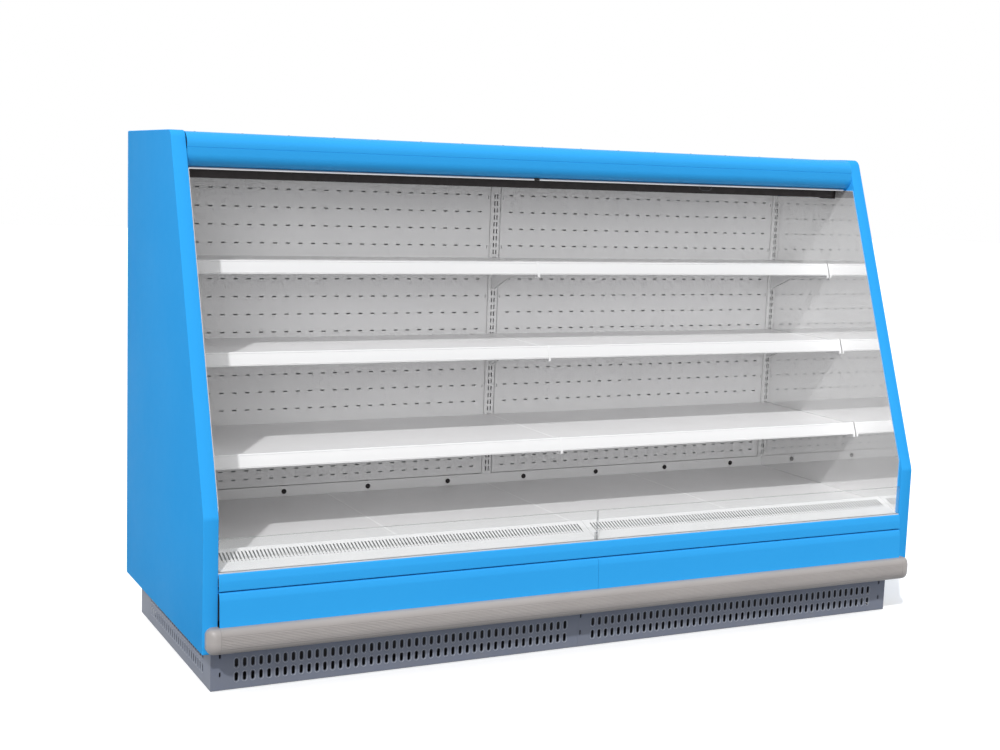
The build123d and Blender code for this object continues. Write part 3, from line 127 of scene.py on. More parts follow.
def add_node(tree, kind, settings=None, inputs=None):
    """One node: its settings first, then the values or links of its sockets."""
    node = tree.nodes.new(kind)
    for name, value in (settings or {}).items():
        setattr(node, name, value)
    for name, value in (inputs or {}).items():
        feed(tree, node.inputs[name], value)
    return node


class Field:
    """A shader socket that takes part in Python arithmetic."""

    def __init__(self, shader, socket):
        self.shader = shader
        self.socket = socket

    def math(self, operation, *others):
        """A Math node on this socket and the others."""
        return self.shader.add("ShaderNodeMath", {"operation": operation}, dict(enumerate([self, *others])))

    def __add__(self, other):
        return self.math("ADD", other)

    def __mul__(self, other):
        return self.math("MULTIPLY", other)

    def __gt__(self, other):
        return self.math("GREATER_THAN", other)

    def __lt__(self, other):
        return self.math("LESS_THAN", other)

    __radd__ = __add__
    __rmul__ = __mul__


class Shader:
    """A material around one Principled surface."""

    def __init__(self, name, **plain):
        self.material = bpy.data.materials.new(name)
        self.material.use_nodes = True
        self.tree = self.material.node_tree
        self.tree.nodes.clear()
        self.surface = self.tree.nodes.new("ShaderNodeBsdfPrincipled")
        add_node(self.tree, "ShaderNodeOutputMaterial", inputs={0: self.surface.outputs[0]})
        self.set(**plain)

    def add(self, kind, settings=None, inputs=None, output=0):
        """A node's output, ready for arithmetic."""
        return Field(self, add_node(self.tree, kind, settings, inputs).outputs[output])

    def place(self, scale=(1, 1, 1)):
        """Object coordinates, stretched per axis."""
        coordinates = self.add("ShaderNodeTexCoord", output="Object")
        return self.add("ShaderNodeMapping", inputs={"Vector": coordinates, "Scale": scale})

    def axis(self, letter):
        """One of the object coordinates."""
        coordinates = self.add("ShaderNodeTexCoord", output="Object")
        return self.add("ShaderNodeSeparateXYZ", inputs={0: coordinates}, output="XYZ".index(letter))

    def noise(self, scale, detail=3.0, stretch=(1, 1, 1), low=0.0, high=1.0):
        """Noise mapped so that its usual spread fills low to high."""
        field = self.add("ShaderNodeTexNoise",
                         inputs={"Vector": self.place(stretch), "Scale": scale, "Detail": detail})
        return self.ramp(field, 0.3, 0.7, low, high)

    def ramp(self, field, start, end, low=0.0, high=1.0):
        """A field's span mapped to another, clamped at both ends."""
        return self.add("ShaderNodeMapRange", inputs={"Value": field, "From Min": start, "From Max": end,
                                                      "To Min": low, "To Max": high})

    def blend(self, amount, first, second):
        """Mix of two colours."""
        return self.add("ShaderNodeMix", {"data_type": "RGBA"}, {0: amount, 6: first, 7: second}, 2)

    def bump(self, height, depth):
        """Height field, its full range worth a depth in metres."""
        return self.add("ShaderNodeBump", inputs={"Height": height, "Distance": depth, "Strength": 1.0})

    def set(self, **fields):
        """Feeds the surface's sockets by name, and gives the material."""
        for name, value in fields.items():
            feed(self.tree, self.surface.inputs[name.replace("_", " ")], value)
        return self.material


# ---------------------------------------------------------------- finishes
DUST_TONE = (0.30, 0.29, 0.27)
DUST_TOP = 0.16                         # how high over the floor dust lies, metres
PAINTS = {                              # tone, its shade, roughness, and what isn't plain enamel's
    "blue_end": ((0.032, 0.350, 0.80), (0.029, 0.334, 0.78), 0.50, {"specular": 0.015}),
    "blue_steel": ((0.030, 0.350, 0.785), (0.027, 0.335, 0.77), 0.32, {"specular": 0.12}),
    "white_steel": ((0.80, 0.80, 0.805), (0.76, 0.76, 0.765), 0.34, {}),
    "deck_white": ((0.825, 0.82, 0.825), (0.79, 0.785, 0.79), 0.28, {"specular": 0.45}),
    "rail_plastic": ((0.745, 0.745, 0.75), (0.715, 0.715, 0.72), 0.34, {}),
    # slot rims: lighter than the plate as a painted highlight on the pressed edges, partly worn paint
    "rim_highlight_steel": ((0.36, 0.38, 0.42), (0.30, 0.32, 0.36), 0.35, {}),
    # joint strips: bright as a painted highlight along the seams of pans and trays
    "joint_highlight_strip": ((0.93, 0.93, 0.93), (0.90, 0.90, 0.90), 0.30, {}),
    "grey_steel": ((0.168, 0.188, 0.243), (0.150, 0.168, 0.220), 0.42, {"dust": 0.12}),
    "foamed_liner": ((0.66, 0.69, 0.71), (0.58, 0.61, 0.63), 0.38, {}),
    # dark liner: the tub is dark so that the deck's slots read dark, a painted shade
    "dark_liner": ((0.10, 0.105, 0.11), (0.085, 0.09, 0.095), 0.45, {}),
    "black_steel": ((0.02, 0.02, 0.022), (0.035, 0.035, 0.038), 0.4, {}),
}


def painted_sheet(name, tone, shade, roughness, specular=0.3, dust=0.0):
    """Stoved enamel on sheet steel: orange peel, faint handling marks, and dust near the floor if asked."""
    paint = Shader(name, Specular_IOR_Level=specular)
    smudge = paint.noise(3.5, 4)
    grime = paint.noise(26, 5)
    colour = paint.blend(smudge * 0.5 + grime * 0.2, tone, shade)
    if dust:
        low = paint.ramp(paint.axis("Z"), 0.0, DUST_TOP, dust, 0.0)
        colour = paint.blend(low * grime, colour, DUST_TONE)
    gloss = roughness + 0.07 * smudge + 0.04 * grime
    return paint.set(Base_Color=colour, Roughness=gloss, Normal=paint.bump(paint.noise(420, 2), 0.00003))


def black_plastic():
    """Moulded plastic with a fine grain."""
    black = Shader("black_plastic", Specular_IOR_Level=0.3)
    tone = black.blend(black.noise(30), (0.012, 0.009, 0.0095), (0.024, 0.019, 0.020))
    return black.set(Base_Color=tone, Roughness=black.noise(90, low=0.42, high=0.58),
                     Normal=black.bump(black.noise(900, 2), 0.00008))


def buffer_plastic():
    """Warm grey of the buffer rail, dusty all over, with painted shade darkening it along its foot."""
    buffer = Shader("bumper", Specular_IOR_Level=0.5)
    dust = buffer.noise(12, 5, stretch=(0.2, 1, 1))
    # painted shade: the rail turns darker towards its foot, below 172 mm
    painted_shade_foot = buffer.ramp(buffer.axis("Z"), 0.140, 0.172, 0.85, 0.0)
    warm = buffer.blend(dust, (0.36, 0.335, 0.325), (0.32, 0.298, 0.29))
    return buffer.set(Base_Color=buffer.blend(painted_shade_foot, warm, (0.20, 0.19, 0.19)),
                      Roughness=0.30 + 0.12 * dust, Normal=buffer.bump(buffer.noise(700, 3), 0.00006))


def mirror_glass():
    """Hazed mirror on the inner faces of the end panels."""
    mirror = Shader("mirror", Metallic=0.74)
    haze = mirror.noise(5, 5)
    return mirror.set(Base_Color=mirror.blend(haze, (0.93, 0.93, 0.93), (0.90, 0.90, 0.90)),
                      Roughness=0.02 + 0.04 * haze)


def clear_glass(rim_height=0.4672, rim_width=0.0018):
    """Clear panes with a thin film, darker at their ground tops and where they meet."""
    glass = Shader("glass", IOR=1.45, Specular_IOR_Level=0.5)
    film = glass.noise(9, 4)
    across = glass.axis("X")
    joint = across * across < rim_width ** 2
    rim = (glass.axis("Z") > rim_height).math("MAXIMUM", joint)
    return glass.set(Base_Color=glass.blend(rim, (0.62, 0.66, 0.65), (0.26, 0.28, 0.28)),
                     Roughness=0.03 + 0.05 * film, Alpha=0.06 + 0.03 * film + 0.45 * rim)


def drawn_aluminium():
    """Extruded aluminium with die lines along x."""
    aluminium = Shader("aluminium", Metallic=0.8)
    drawn = aluminium.noise(240, 3, stretch=(0.03, 1, 1))
    return aluminium.set(Base_Color=aluminium.blend(drawn, (0.66, 0.66, 0.67), (0.55, 0.55, 0.57)),
                         Roughness=0.36 + 0.12 * drawn, Normal=aluminium.bump(drawn, 0.00003))


def zinc_steel():
    """Galvanised sheet with spangles."""
    zinc = Shader("zinc_steel", Metallic=0.9)
    cells = zinc.add("ShaderNodeTexVoronoi", inputs={"Vector": zinc.place(), "Scale": 75.0}, output="Color")
    spangle = zinc.add("ShaderNodeSeparateColor", inputs={0: cells})
    return zinc.set(Base_Color=zinc.blend(spangle, (0.50, 0.52, 0.54), (0.36, 0.38, 0.40)),
                    Roughness=0.36 + 0.16 * spangle, Normal=zinc.bump(zinc.noise(260, 3), 0.00004))


def copper_pipe():
    """Copper with patches of tarnish."""
    copper = Shader("copper_pipe", Metallic=0.95)
    tarnish = copper.noise(40, 5)
    return copper.set(Base_Color=copper.blend(tarnish, (0.62, 0.30, 0.17), (0.36, 0.17, 0.10)),
                      Roughness=0.28 + 0.25 * tarnish, Normal=copper.bump(tarnish, 0.00003))


def blind_fabric(threads=320.0):
    """Plain woven cloth, light where the threads rise."""
    fabric = Shader("blind_fabric", Sheen_Weight=0.2)
    warp, weft = (fabric.add("ShaderNodeTexWave", {"bands_direction": direction},
                             {"Vector": fabric.place(), "Scale": threads, "Distortion": 0.6})
                  for direction in "XZ")
    weave = warp * 0.5 + weft * 0.5
    return fabric.set(Base_Color=fabric.blend(weave, (0.40, 0.41, 0.42), (0.56, 0.57, 0.58)),
                      Roughness=0.7 + 0.15 * weave, Normal=fabric.bump(weave, 0.0002))


def make_finishes():
    """All finishes by name."""
    painted = {name: painted_sheet(name, tone, shade, roughness, **other)
               for name, (tone, shade, roughness, other) in PAINTS.items()}
    return {**painted, "black_plastic": black_plastic(), "bumper": buffer_plastic(), "mirror": mirror_glass(),
            "glass": clear_glass(), "aluminium": drawn_aluminium(), "zinc_steel": zinc_steel(),
            "copper_pipe": copper_pipe(), "blind_fabric": blind_fabric()}


finishes = make_finishes()


def dress_nodes():
    """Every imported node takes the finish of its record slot, or a finer one named here."""
    glossy = ["deck_tray_1", "deck_tray_2", "deck_tray_3", "deck_tray_4",
              "shelf_pans_bottom", "shelf_pans_middle", "shelf_pans_top"]
    # fan plate, tub and base frame are dark so that the slots before them read dark: painted shade, for the
    # frame also plausible black paint
    finer = {**dict.fromkeys(glossy, "deck_white"), "fan_plate": "black_steel", "insulated_tub": "dark_liner",
             "base_frame": "black_steel"}
    for entry in frame["record"]["subparts"]:
        node = nodes[entry["node"]]
        material = finishes[finer.get(entry["node"], entry["material_slot"])]
        for slot in node.material_slots:
            slot.material = material


# ---------------------------------------------------------------- outlines
def rounded(points, radii, closed=False, steps=5):
    """Path of y, z points with each corner turned into an arc of its own radius; 0 keeps it sharp."""
    count = len(points)
    path = []
    for index, (point, radius) in enumerate(zip(points, radii)):
        inner = closed or 0 < index < count - 1
        if not radius or not inner:
            path.append(tuple(point))
            continue
        here = Vector(point)
        back = (Vector(points[index - 1]) - here).normalized()
        ahead = (Vector(points[(index + 1) % count]) - here).normalized()
        half = back.angle(ahead) / 2
        centre = here + (back + ahead).normalized() * (radius / math.sin(half))
        start = here + back * (radius / math.tan(half)) - centre
        end = here + ahead * (radius / math.tan(half)) - centre
        sweep = math.atan2(start.x * end.y - start.y * end.x, start.dot(end))
        for i in range(steps + 1):
            turn = sweep * i / steps
            path.append((centre.x + start.x * math.cos(turn) - start.y * math.sin(turn),
                         centre.y + start.x * math.sin(turn) + start.y * math.cos(turn)))
    return path


def moved_path(path, distance):
    """Path moved to its left by a distance, with mitred corners."""
    normals = [Vector((z0 - z1, y1 - y0)).normalized() for (y0, z0), (y1, z1) in zip(path, path[1:])]
    moved = []
    for index, point in enumerate(path):
        before = normals[max(index - 1, 0)]
        after = normals[min(index, len(normals) - 1)]
        moved.append(tuple(Vector(point) + (before + after) * (distance / (1 + before.dot(after)))))
    return moved


def thick(path, thickness=SHEET):
    """Closed outline of a sheet that follows a path, its thickness to the left."""
    return list(path) + moved_path(path, thickness)[::-1]


# ---------------------------------------------------------------- meshes
def as_mesh(bm):
    """Mesh of the shape, its faces turned outwards."""
    bmesh.ops.recalc_face_normals(bm, faces=bm.faces)
    mesh = bpy.data.meshes.new("shape")
    bm.to_mesh(mesh)
    bm.free()
    return mesh


def joined(meshes):
    """One editable shape of several meshes."""
    bm = bmesh.new()
    for mesh in meshes:
        bm.from_mesh(mesh)
    return bm


def bridge(bm, first, second):
    """Faces between two closed rings of equally many vertices."""
    for i in range(len(first)):
        j = (i + 1) % len(first)
        bm.faces.new((first[i], first[j], second[j], second[i]))


def loft(rings):
    """Closed skin over rings of equally many points, with flat ends."""
    bm = bmesh.new()
    loops = [[bm.verts.new(point) for point in ring] for ring in rings]
    for first, second in zip(loops, loops[1:]):
        bridge(bm, first, second)
    bm.faces.new(loops[0])
    bm.faces.new(loops[-1])
    return as_mesh(bm)


def run(outline, start, end):
    """Closed y, z outline running along x."""
    return loft([[(x, y, z) for y, z in outline] for x in (start, end)])


def lathe(profile, sides, turn=None):
    """Profile of radius, height turned round +Z, then moved by a matrix."""
    angles = [2 * math.pi * i / sides for i in range(sides)]
    mesh = loft([[(radius * math.cos(angle), radius * math.sin(angle), height) for angle in angles]
                 for radius, height in profile])
    if turn:
        mesh.transform(turn)
    return mesh


def boxes(*corner_pairs):
    """Boxes, each from its lowest corner to its highest."""
    bm = bmesh.new()
    for low, high in corner_pairs:
        xs, ys, zs = zip(low, high)
        corners = [bm.verts.new((x, y, z)) for x in xs for y in ys for z in zs]
        for ring in ((0, 1, 3, 2), (4, 6, 7, 5), (0, 4, 5, 1), (2, 3, 7, 6), (0, 2, 6, 4), (1, 5, 7, 3)):
            bm.faces.new([corners[i] for i in ring])
    return as_mesh(bm)


def eased(mesh, width, segments=2, limit=40):
    """Mesh with its sharp edges rounded."""
    bm = joined([mesh])
    bmesh.ops.remove_doubles(bm, verts=bm.verts, dist=0.001)
    sharp = [edge for edge in bm.edges if edge.calc_face_angle(0) > math.radians(limit)]
    bmesh.ops.bevel(bm, geom=sharp, offset=width, segments=segments, profile=0.5, affect="EDGES",
                    clamp_overlap=True)
    return as_mesh(bm)


def settled(carrier):
    """Plain mesh of an object with its modifiers worked out; the object goes."""
    bpy.context.view_layer.update()
    evaluated = carrier.evaluated_get(bpy.context.evaluated_depsgraph_get())
    mesh = bpy.data.meshes.new_from_object(evaluated)
    carrier.modifiers.clear()
    bpy.data.objects.remove(carrier)
    return mesh


def tube(points, radius):
    """Round tube along a smooth curve through its control points."""
    curve = bpy.data.curves.new("tube", "CURVE")
    curve.dimensions = "3D"
    curve.bevel_depth = radius
    curve.bevel_resolution = 2
    curve.use_fill_caps = True
    curve.resolution_u = 6
    spline = curve.splines.new("NURBS")
    spline.points.add(len(points) - 1)
    for target, point in zip(spline.points, points):
        target.co = (*point, 1)
    spline.order_u = 3
    spline.use_endpoint_u = True
    mesh = settled(linked("tube", curve))
    mesh.materials.clear()
    return mesh


def piece(name, meshes, material, body="cabinet", stands_for=(), smooth=35):
    """One object of several meshes in millimetres, shaded smooth up to an angle, riding on a body."""
    bm = joined(meshes)
    for face in bm.faces:
        face.smooth = True
        face.material_index = 0
    for edge in bm.edges:
        edge.smooth = edge.calc_face_angle(0) < math.radians(smooth)
    whole = bpy.data.meshes.new(name)
    bm.to_mesh(whole)
    bm.free()
    whole.transform(TO_FRAME)
    whole.materials.append(finishes[material])
    made = linked(name, whole)
    if body:
        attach(made, body)
    if stands_for:
        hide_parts(*stands_for)
    return made


# ---------------------------------------------------------------- repeats by geometry nodes
class Repeats:
    """A geometry nodes tree with named inputs, written node by node."""

    def __init__(self, name, **sockets):
        self.tree = bpy.data.node_groups.new(name, "GeometryNodeTree")
        for socket_name, kind in {**sockets, "Place": "Vector", "Finish": "Material"}.items():
            self.tree.interface.new_socket(socket_name, in_out="INPUT", socket_type="NodeSocket" + kind)
        self.tree.interface.new_socket("Sheet", in_out="OUTPUT", socket_type="NodeSocketGeometry")
        self.given = self.tree.nodes.new("NodeGroupInput").outputs

    def add(self, kind, operation=None, **inputs):
        """A node's output; a Math node's inputs are called a and b."""
        settings = {"operation": operation} if operation else {}
        places = {{"a": 0, "b": 1}.get(name, name): value for name, value in inputs.items()}
        return add_node(self.tree, kind, settings, places).outputs[0]

    def finish(self, copies):
        """Realize, weld, place, and set the finish last."""
        real = self.add("GeometryNodeRealizeInstances", Geometry=copies)
        welded = self.add("GeometryNodeMergeByDistance", Geometry=real, Distance=0.01)
        placed = self.add("GeometryNodeTransform", Geometry=welded, Translation=self.given["Place"])
        dressed = self.add("GeometryNodeSetMaterial", Geometry=placed, Material=self.given["Finish"])
        add_node(self.tree, "NodeGroupOutput", inputs={0: dressed})
        return self.tree


def grid_tree():
    """Repeats a cell in a row and the row in further rows, from the first cell's place."""
    work = Repeats("repeat_on_grid", Cell="Geometry", Columns="Int", Rows="Int", Across="Vector", Up="Vector")
    row = work.add("GeometryNodeMeshLine", Count=work.given["Columns"], Offset=work.given["Across"])
    cells = work.add("GeometryNodeInstanceOnPoints", Points=row, Instance=work.given["Cell"])
    real = work.add("GeometryNodeRealizeInstances", Geometry=cells)
    column = work.add("GeometryNodeMeshLine", Count=work.given["Rows"], Offset=work.given["Up"])
    return work.finish(work.add("GeometryNodeInstanceOnPoints", Points=column, Instance=real))


def ring_tree():
    """Repeats a cell evenly round its Z axis."""
    work = Repeats("repeat_round_axis", Cell="Geometry", Count="Int")
    points = work.add("GeometryNodeMeshLine", Count=work.given["Count"], Offset=(0, 0, 0))
    step = work.add("ShaderNodeMath", "DIVIDE", a=2 * math.pi, b=work.given["Count"])
    angle = work.add("ShaderNodeMath", "MULTIPLY", a=work.add("GeometryNodeInputIndex"), b=step)
    turn = work.add("ShaderNodeCombineXYZ", Z=angle)
    return work.finish(work.add("GeometryNodeInstanceOnPoints", Points=points, Instance=work.given["Cell"],
                                Rotation=turn))


TREES = {"grid": grid_tree(), "ring": ring_tree()}


def repeated(kind, cell, material, place=(0, 0, 0), **values):
    """Plain mesh of a repeat tree run on a cell."""
    carrier = linked("carrier", cell)
    modifier = carrier.modifiers.new("repeat", "NODES")
    modifier.node_group = TREES[kind]
    keys = {item.name: item.identifier for item in TREES[kind].interface.items_tree if item.in_out == "INPUT"}
    for name, value in {**values, "Place": place, "Finish": finishes[material]}.items():
        modifier[keys[name]] = value
    return settled(carrier)


def row_of(cell, material, count, step, place=(0, 0, 0), rows=1, up=(0, 0, 1)):
    """Cells a step apart from a first place, in rows that lie an up step apart."""
    return repeated("grid", cell, material, place=place, Columns=count, Rows=rows, Across=step, Up=up)


# ---------------------------------------------------------------- punched sheet
def obround(width, height, grow=0.0, steps=4):
    """Points round a slot with round ends, anticlockwise, on x and z."""
    width, height = width + 2 * grow, height + 2 * grow
    lying = width > height
    if lying:
        width, height = height, width
    radius = width / 2
    reach = height / 2 - radius
    points = []
    for centre, start in ((reach, 0.0), (-reach, math.pi)):
        for i in range(steps + 1):
            turn = start + math.pi * i / steps
            points.append((radius * math.cos(turn), centre + radius * math.sin(turn)))
    return [(-z, x) for x, z in points] if lying else points


def slot_cell(pitch_x, pitch_z, width, height, thickness, rim=0.0):
    """One cell of a punched sheet, its face on y = 0 and towards -Y, with a pressed rim round the slot."""
    bm = bmesh.new()
    half_x, half_z = pitch_x / 2, pitch_z / 2
    corners = [(half_x, 0), (half_x, half_z), (0, half_z), (-half_x, half_z), (-half_x, 0),
               (-half_x, -half_z), (0, -half_z), (half_x, -half_z)]

    def ring(points, y):
        return [bm.verts.new((x, y, z)) for x, z in points]

    def surround(inner, y):
        edges = []
        for loop in (ring(corners, y), inner):
            for i in range(len(loop)):
                pair = (loop[i], loop[(i + 1) % len(loop)])
                edges.append(bm.edges.get(pair) or bm.edges.new(pair))
        bmesh.ops.triangle_fill(bm, use_beauty=True, use_dissolve=False, edges=edges)

    hole = obround(width, height)
    back = ring(hole, thickness)
    if rim:
        front = ring(obround(width, height, rim), 0)
        dish = [front, ring(obround(width, height, rim * 0.72), -rim * 0.2),
                ring(obround(width, height, rim * 0.4), rim * 0.12), ring(hole, rim * 0.12), back]
    else:
        front = ring(hole, 0)
        dish = [front, back]
    for first, second in zip(dish, dish[1:]):
        bridge(bm, first, second)
    surround(front, 0)
    surround(back, thickness)
    return as_mesh(bm)


THINNEST_STRIP = 0.01                   # plain strips between slots are left out under this width or height


def punched(extent, thickness, groups, material, turn=None):
    """Sheet standing on its face, x0, x1, z0, z1, with groups of slot columns and plain strips between them.

    A group is its first column, columns, pitch, and blocks of first row, rows, pitch, slot width,
    height, rim."""
    x_low, x_high, z_low, z_high = extent
    meshes, plain = [], []
    edge = x_low
    for first, columns, pitch, blocks in groups:
        left = first - pitch / 2
        right = left + pitch * columns
        plain.append(((edge, 0, z_low), (left, thickness, z_high)))
        low = z_low
        for row, rows, step, width, height, rim in blocks:
            foot = row - step / 2
            plain.append(((left, 0, low), (right, thickness, foot)))
            cell = slot_cell(pitch, step, width, height, thickness, rim)
            meshes.append(row_of(cell, material, columns, (pitch, 0, 0), (first, 0, row), rows, (0, 0, step)))
            low = foot + step * rows
        plain.append(((left, 0, low), (right, thickness, z_high)))
        edge = right
    plain.append(((edge, 0, z_low), (x_high, thickness, z_high)))
    meshes.append(boxes(*((low, high) for low, high in plain
                          if min(high[0] - low[0], high[2] - low[2]) > THINNEST_STRIP)))
    if turn:
        for mesh in meshes:
            mesh.transform(turn)
    return meshes


# ---------------------------------------------------------------- end panels, canopy and front
def end_panels():
    """Foamed ends with eased edges and a rounded top front corner."""
    corners = [(0, PANEL_FOOT), (0, KINK), (PANEL_LEAN, CASE_TOP), (PANEL_DEPTH, CASE_TOP),
               (PANEL_DEPTH, PANEL_FOOT)]
    outline = rounded(corners, (3, 40, 32, 6, 6), closed=True, steps=8)
    for side in HANDS:
        panel = eased(run(outline, *on_side(side, HALF, HALF + PANEL_THICKNESS)), 2.2, 3, 50)
        piece(f"coated_end_{side}", [panel], "blue_end", stands_for=[f"end_panel_{side}"])


def canopy():
    """Canopy front in one bent sheet, rounded at its top and foot, with a crease along its middle."""
    crease = [(384, 1576.6), (385, 1575.8), (384, 1575)]
    corners = [(494, 1622), (384, 1622), *crease, (384, 1518), (424, 1518)]
    path = rounded(corners, (0, 40, 0, 0, 0, 38, 0), steps=14)
    skin = run(thick(path, 2), -HALF + 1.2, HALF - 1.2)
    piece("canopy_skin", [skin], "blue_steel", stands_for=["canopy_fascia"], smooth=40)


def fascias():
    """Upper and lower front strips with softly rolled top folds."""
    upper = rounded([(2, 366.5), (-2.5, 366.3), (-7.2, 345), (-9, 317), (12, 317)],
                    (0, 5, 40, 1.5, 0), steps=6)
    piece("upper_front_strip", [run(thick(upper), -HALF, HALF)], "blue_steel", stands_for=["upper_fascia"])
    lower = rounded([(12, 313), (-8.5, 313), (-13.5, 292), (-17, 216), (-17, 134), (23, 134)],
                    (0, 6, 50, 60, 2.5, 0), steps=6)
    for side in HANDS:
        start, end = on_side(side, 0.5, 1249.5)
        piece(f"lower_front_strip_{side}", [run(thick(lower), start, end)], "blue_steel",
              stands_for=[f"lower_fascia_{side}"])


BUMPER_MIDDLE = 174.5
BUMPER_HALF = 38.5
BUMPER_RIBS = 9
BUMPER_RIB_PITCH = 4.6
BUMPER_WALL = 17.0                      # fascia's face in front of the datum
BUMPER_DEPTH = 40.0
BUMPER_END = 12.0                       # what is left of the depth at the caps' ends


def bumper_front(share):
    """How far the bumper stands in front of the fascia at a share of its half height."""
    return (BUMPER_DEPTH - BUMPER_WALL) * (1 - abs(share) ** 3.2) ** (1 / 2.2)


def bumper_outline(ribbed):
    """Points from the bumper's foot round its front to its top, as height share and depth."""
    shares = [math.sin(math.pi / 2 * (i / 22 - 1)) for i in range(45)]
    if not ribbed:
        return [(share, bumper_front(share)) for share in shares]
    span = BUMPER_RIBS * BUMPER_RIB_PITCH / 2
    points = [(share, bumper_front(share)) for share in shares if abs(share) * BUMPER_HALF > span]
    ribs = []
    for i in range(BUMPER_RIBS):
        for part, depth in ((0.0, 1.1), (0.16, 0.25), (0.5, 0.0), (0.84, 0.25)):
            share = (-span + BUMPER_RIB_PITCH * (i + part)) / BUMPER_HALF
            ribs.append((share, bumper_front(share) - depth))
    split = len(points) // 2
    return points[:split] + ribs + points[split:]


def bumper_cap(hand):
    """Moulded end, drawn in towards its tip in depth and then in height."""
    rings = []
    for i in range(13):
        turn = math.pi / 2 * i / 12
        out = 6 + 32 * math.sin(turn)
        depth = BUMPER_END + (BUMPER_DEPTH - BUMPER_END) * math.cos(turn)
        past = max(0.0, out - 16) / 22.5
        half = BUMPER_HALF - 22 * (1 - math.sqrt(max(0.0, 1 - past ** 2)))
        rings.append((HALF + out, depth, half))
    rings.insert(0, (HALF, *rings[0][1:]))
    loops = []
    for x, depth, half in rings:
        front = depth / BUMPER_DEPTH
        loop = [(hand * x, 0, BUMPER_MIDDLE - half)]
        loop += [(hand * x, -(BUMPER_WALL + reach) * front, BUMPER_MIDDLE + share * half)
                 for share, reach in bumper_outline(False)]
        loops.append(loop + [(hand * x, 0, BUMPER_MIDDLE + half)])
    return loft(loops)


def bumper():
    """Ribbed buffer rail with moulded ends."""
    outline = [(-BUMPER_WALL - depth, BUMPER_MIDDLE + share * BUMPER_HALF)
               for share, depth in bumper_outline(True)]
    rail = run(outline, -HALF + 0.5, HALF - 0.5)
    piece("buffer_profile", [rail], "bumper", stands_for=["bumper_rail"], smooth=50)
    caps = [bumper_cap(hand) for hand in HANDS.values()]
    piece("buffer_caps", caps, "bumper", stands_for=["bumper_end_caps"], smooth=50)


def front_panes():
    """Two low panes with ground edges."""
    panes = []
    for side in HANDS:
        start, end = on_side(side, 1.5, HALF - 0.5)
        panes.append(eased(boxes(((start, 4, 355.8), (end, 10, 468))), 0.8, 2))
    piece("low_glass", panes, "glass", stands_for=["front_glass"])


# ---------------------------------------------------------------- plinth
PLINTH_FACE = 54.0
PLINTH_FOOT = 2.0
PLINTH_TOP = 121.5
PLINTH_HALF = 1255.0
PLINTH_SPLIT = -28.0                    # where the two front plates meet
PRESSED_RIM = 5.0                       # width of the dished edge round a slot
VENT_PITCH = 25.0
VENT_SIZE = (10.0, 26.5)
FRONT_VENTS = {                         # first column, columns, heights of the two rows
    "left": (-1177, 45, (38.5, 80.5)),
    "right": (28, 47, (38.5, 80.5)),
}
SIDE_VENTS = (26, (48, 90))             # columns, heights of the two rows
FIXINGS = {"left": (-1227,), "right": (-19, 1227)}


def vent_columns(first, count, rows):
    """Columns of dished ventilation slots in two rows."""
    return (first, count, VENT_PITCH, [(rows[0], 2, rows[1] - rows[0], *VENT_SIZE, PRESSED_RIM)])


def fixing_column(x):
    """Two small slots for the plinth's screws, one over the other."""
    return (x, 1, 14, [(49, 1, 30, 5, 15, 2.5), (105, 1, 26, 5, 15, 2.5)])


def bead(width, height, inner, outer, rise):
    """Raised ring round a slot, standing off the face at y = 0."""
    bm = bmesh.new()
    near_outer = outer * 0.75 + inner * 0.25
    near_inner = outer * 0.25 + inner * 0.75
    levels = ((outer, 0.1), (near_outer, -rise), (near_inner, -rise), (inner, 0.1))
    rings = [[bm.verts.new((x, y, z)) for x, z in obround(width, height, grow, 5)] for grow, y in levels]
    for first, second in zip(rings, rings[1:] + rings[:1]):
        bridge(bm, first, second)
    return as_mesh(bm)


def vent_beads(name, first, count, rows, turn):
    """Bright edges of the pressed slots: painted highlight where their rims catch the light, with some worn
    paint.
    """
    beads = row_of(bead(*VENT_SIZE, 2.4, 4.4, 0.9), "rim_highlight_steel", count, (VENT_PITCH, 0, 0),
                   (first, 0, rows[0]), 2, (0, 0, rows[1] - rows[0]))
    beads.transform(turn)
    piece(name, [beads], "rim_highlight_steel")


def front_plinth(side):
    """Half of the front plate, its slots and its flange."""
    start, end = {"left": (-PLINTH_HALF, PLINTH_SPLIT), "right": (PLINTH_SPLIT + 0.5, PLINTH_HALF)}[side]
    turn = Matrix.Translation((0, PLINTH_FACE, 0))
    groups = sorted([vent_columns(*FRONT_VENTS[side]), *map(fixing_column, FIXINGS[side])])
    sheet = punched((start, end, PLINTH_FOOT, PLINTH_TOP), SHEET, groups, "grey_steel", turn)
    flange = boxes(((max(start, 2 - PLINTH_HALF), PLINTH_FACE + SHEET, PLINTH_TOP - SHEET),
                    (min(end, PLINTH_HALF - 2), 94, PLINTH_TOP)))
    piece(f"slotted_plinth_{side}", [*sheet, flange], "grey_steel", stands_for=[f"plinth_front_{side}"])
    vent_beads(f"plinth_beads_{side}", *FRONT_VENTS[side], turn)


def side_plinth(side, hand):
    """Side plate, turned to face outwards."""
    turn = Matrix.Translation((hand * PLINTH_HALF, 0, 0)) @ Matrix.Rotation(hand * math.pi / 2, 4, "Z")
    count, rows = SIDE_VENTS
    first = min(hand * 141, hand * 766)
    start, end = on_side(side, 56, 906)
    sheet = punched((start, end, PLINTH_FOOT, PLINTH_TOP), SHEET, [vent_columns(first, count, rows)],
                    "grey_steel", turn)
    start, end = on_side(side, 1206, PLINTH_HALF - SHEET)
    flange = boxes(((start, 94.5, PLINTH_TOP - SHEET), (end, 906, PLINTH_TOP)))
    piece(f"slotted_side_plinth_{side}", [*sheet, flange], "grey_steel", stands_for=[f"plinth_side_{side}"])
    vent_beads(f"side_plinth_beads_{side}", first, count, rows, turn)


def plinth():
    """Slotted kick plates round the base."""
    for side in HANDS:
        front_plinth(side)
    for side, hand in HANDS.items():
        side_plinth(side, hand)


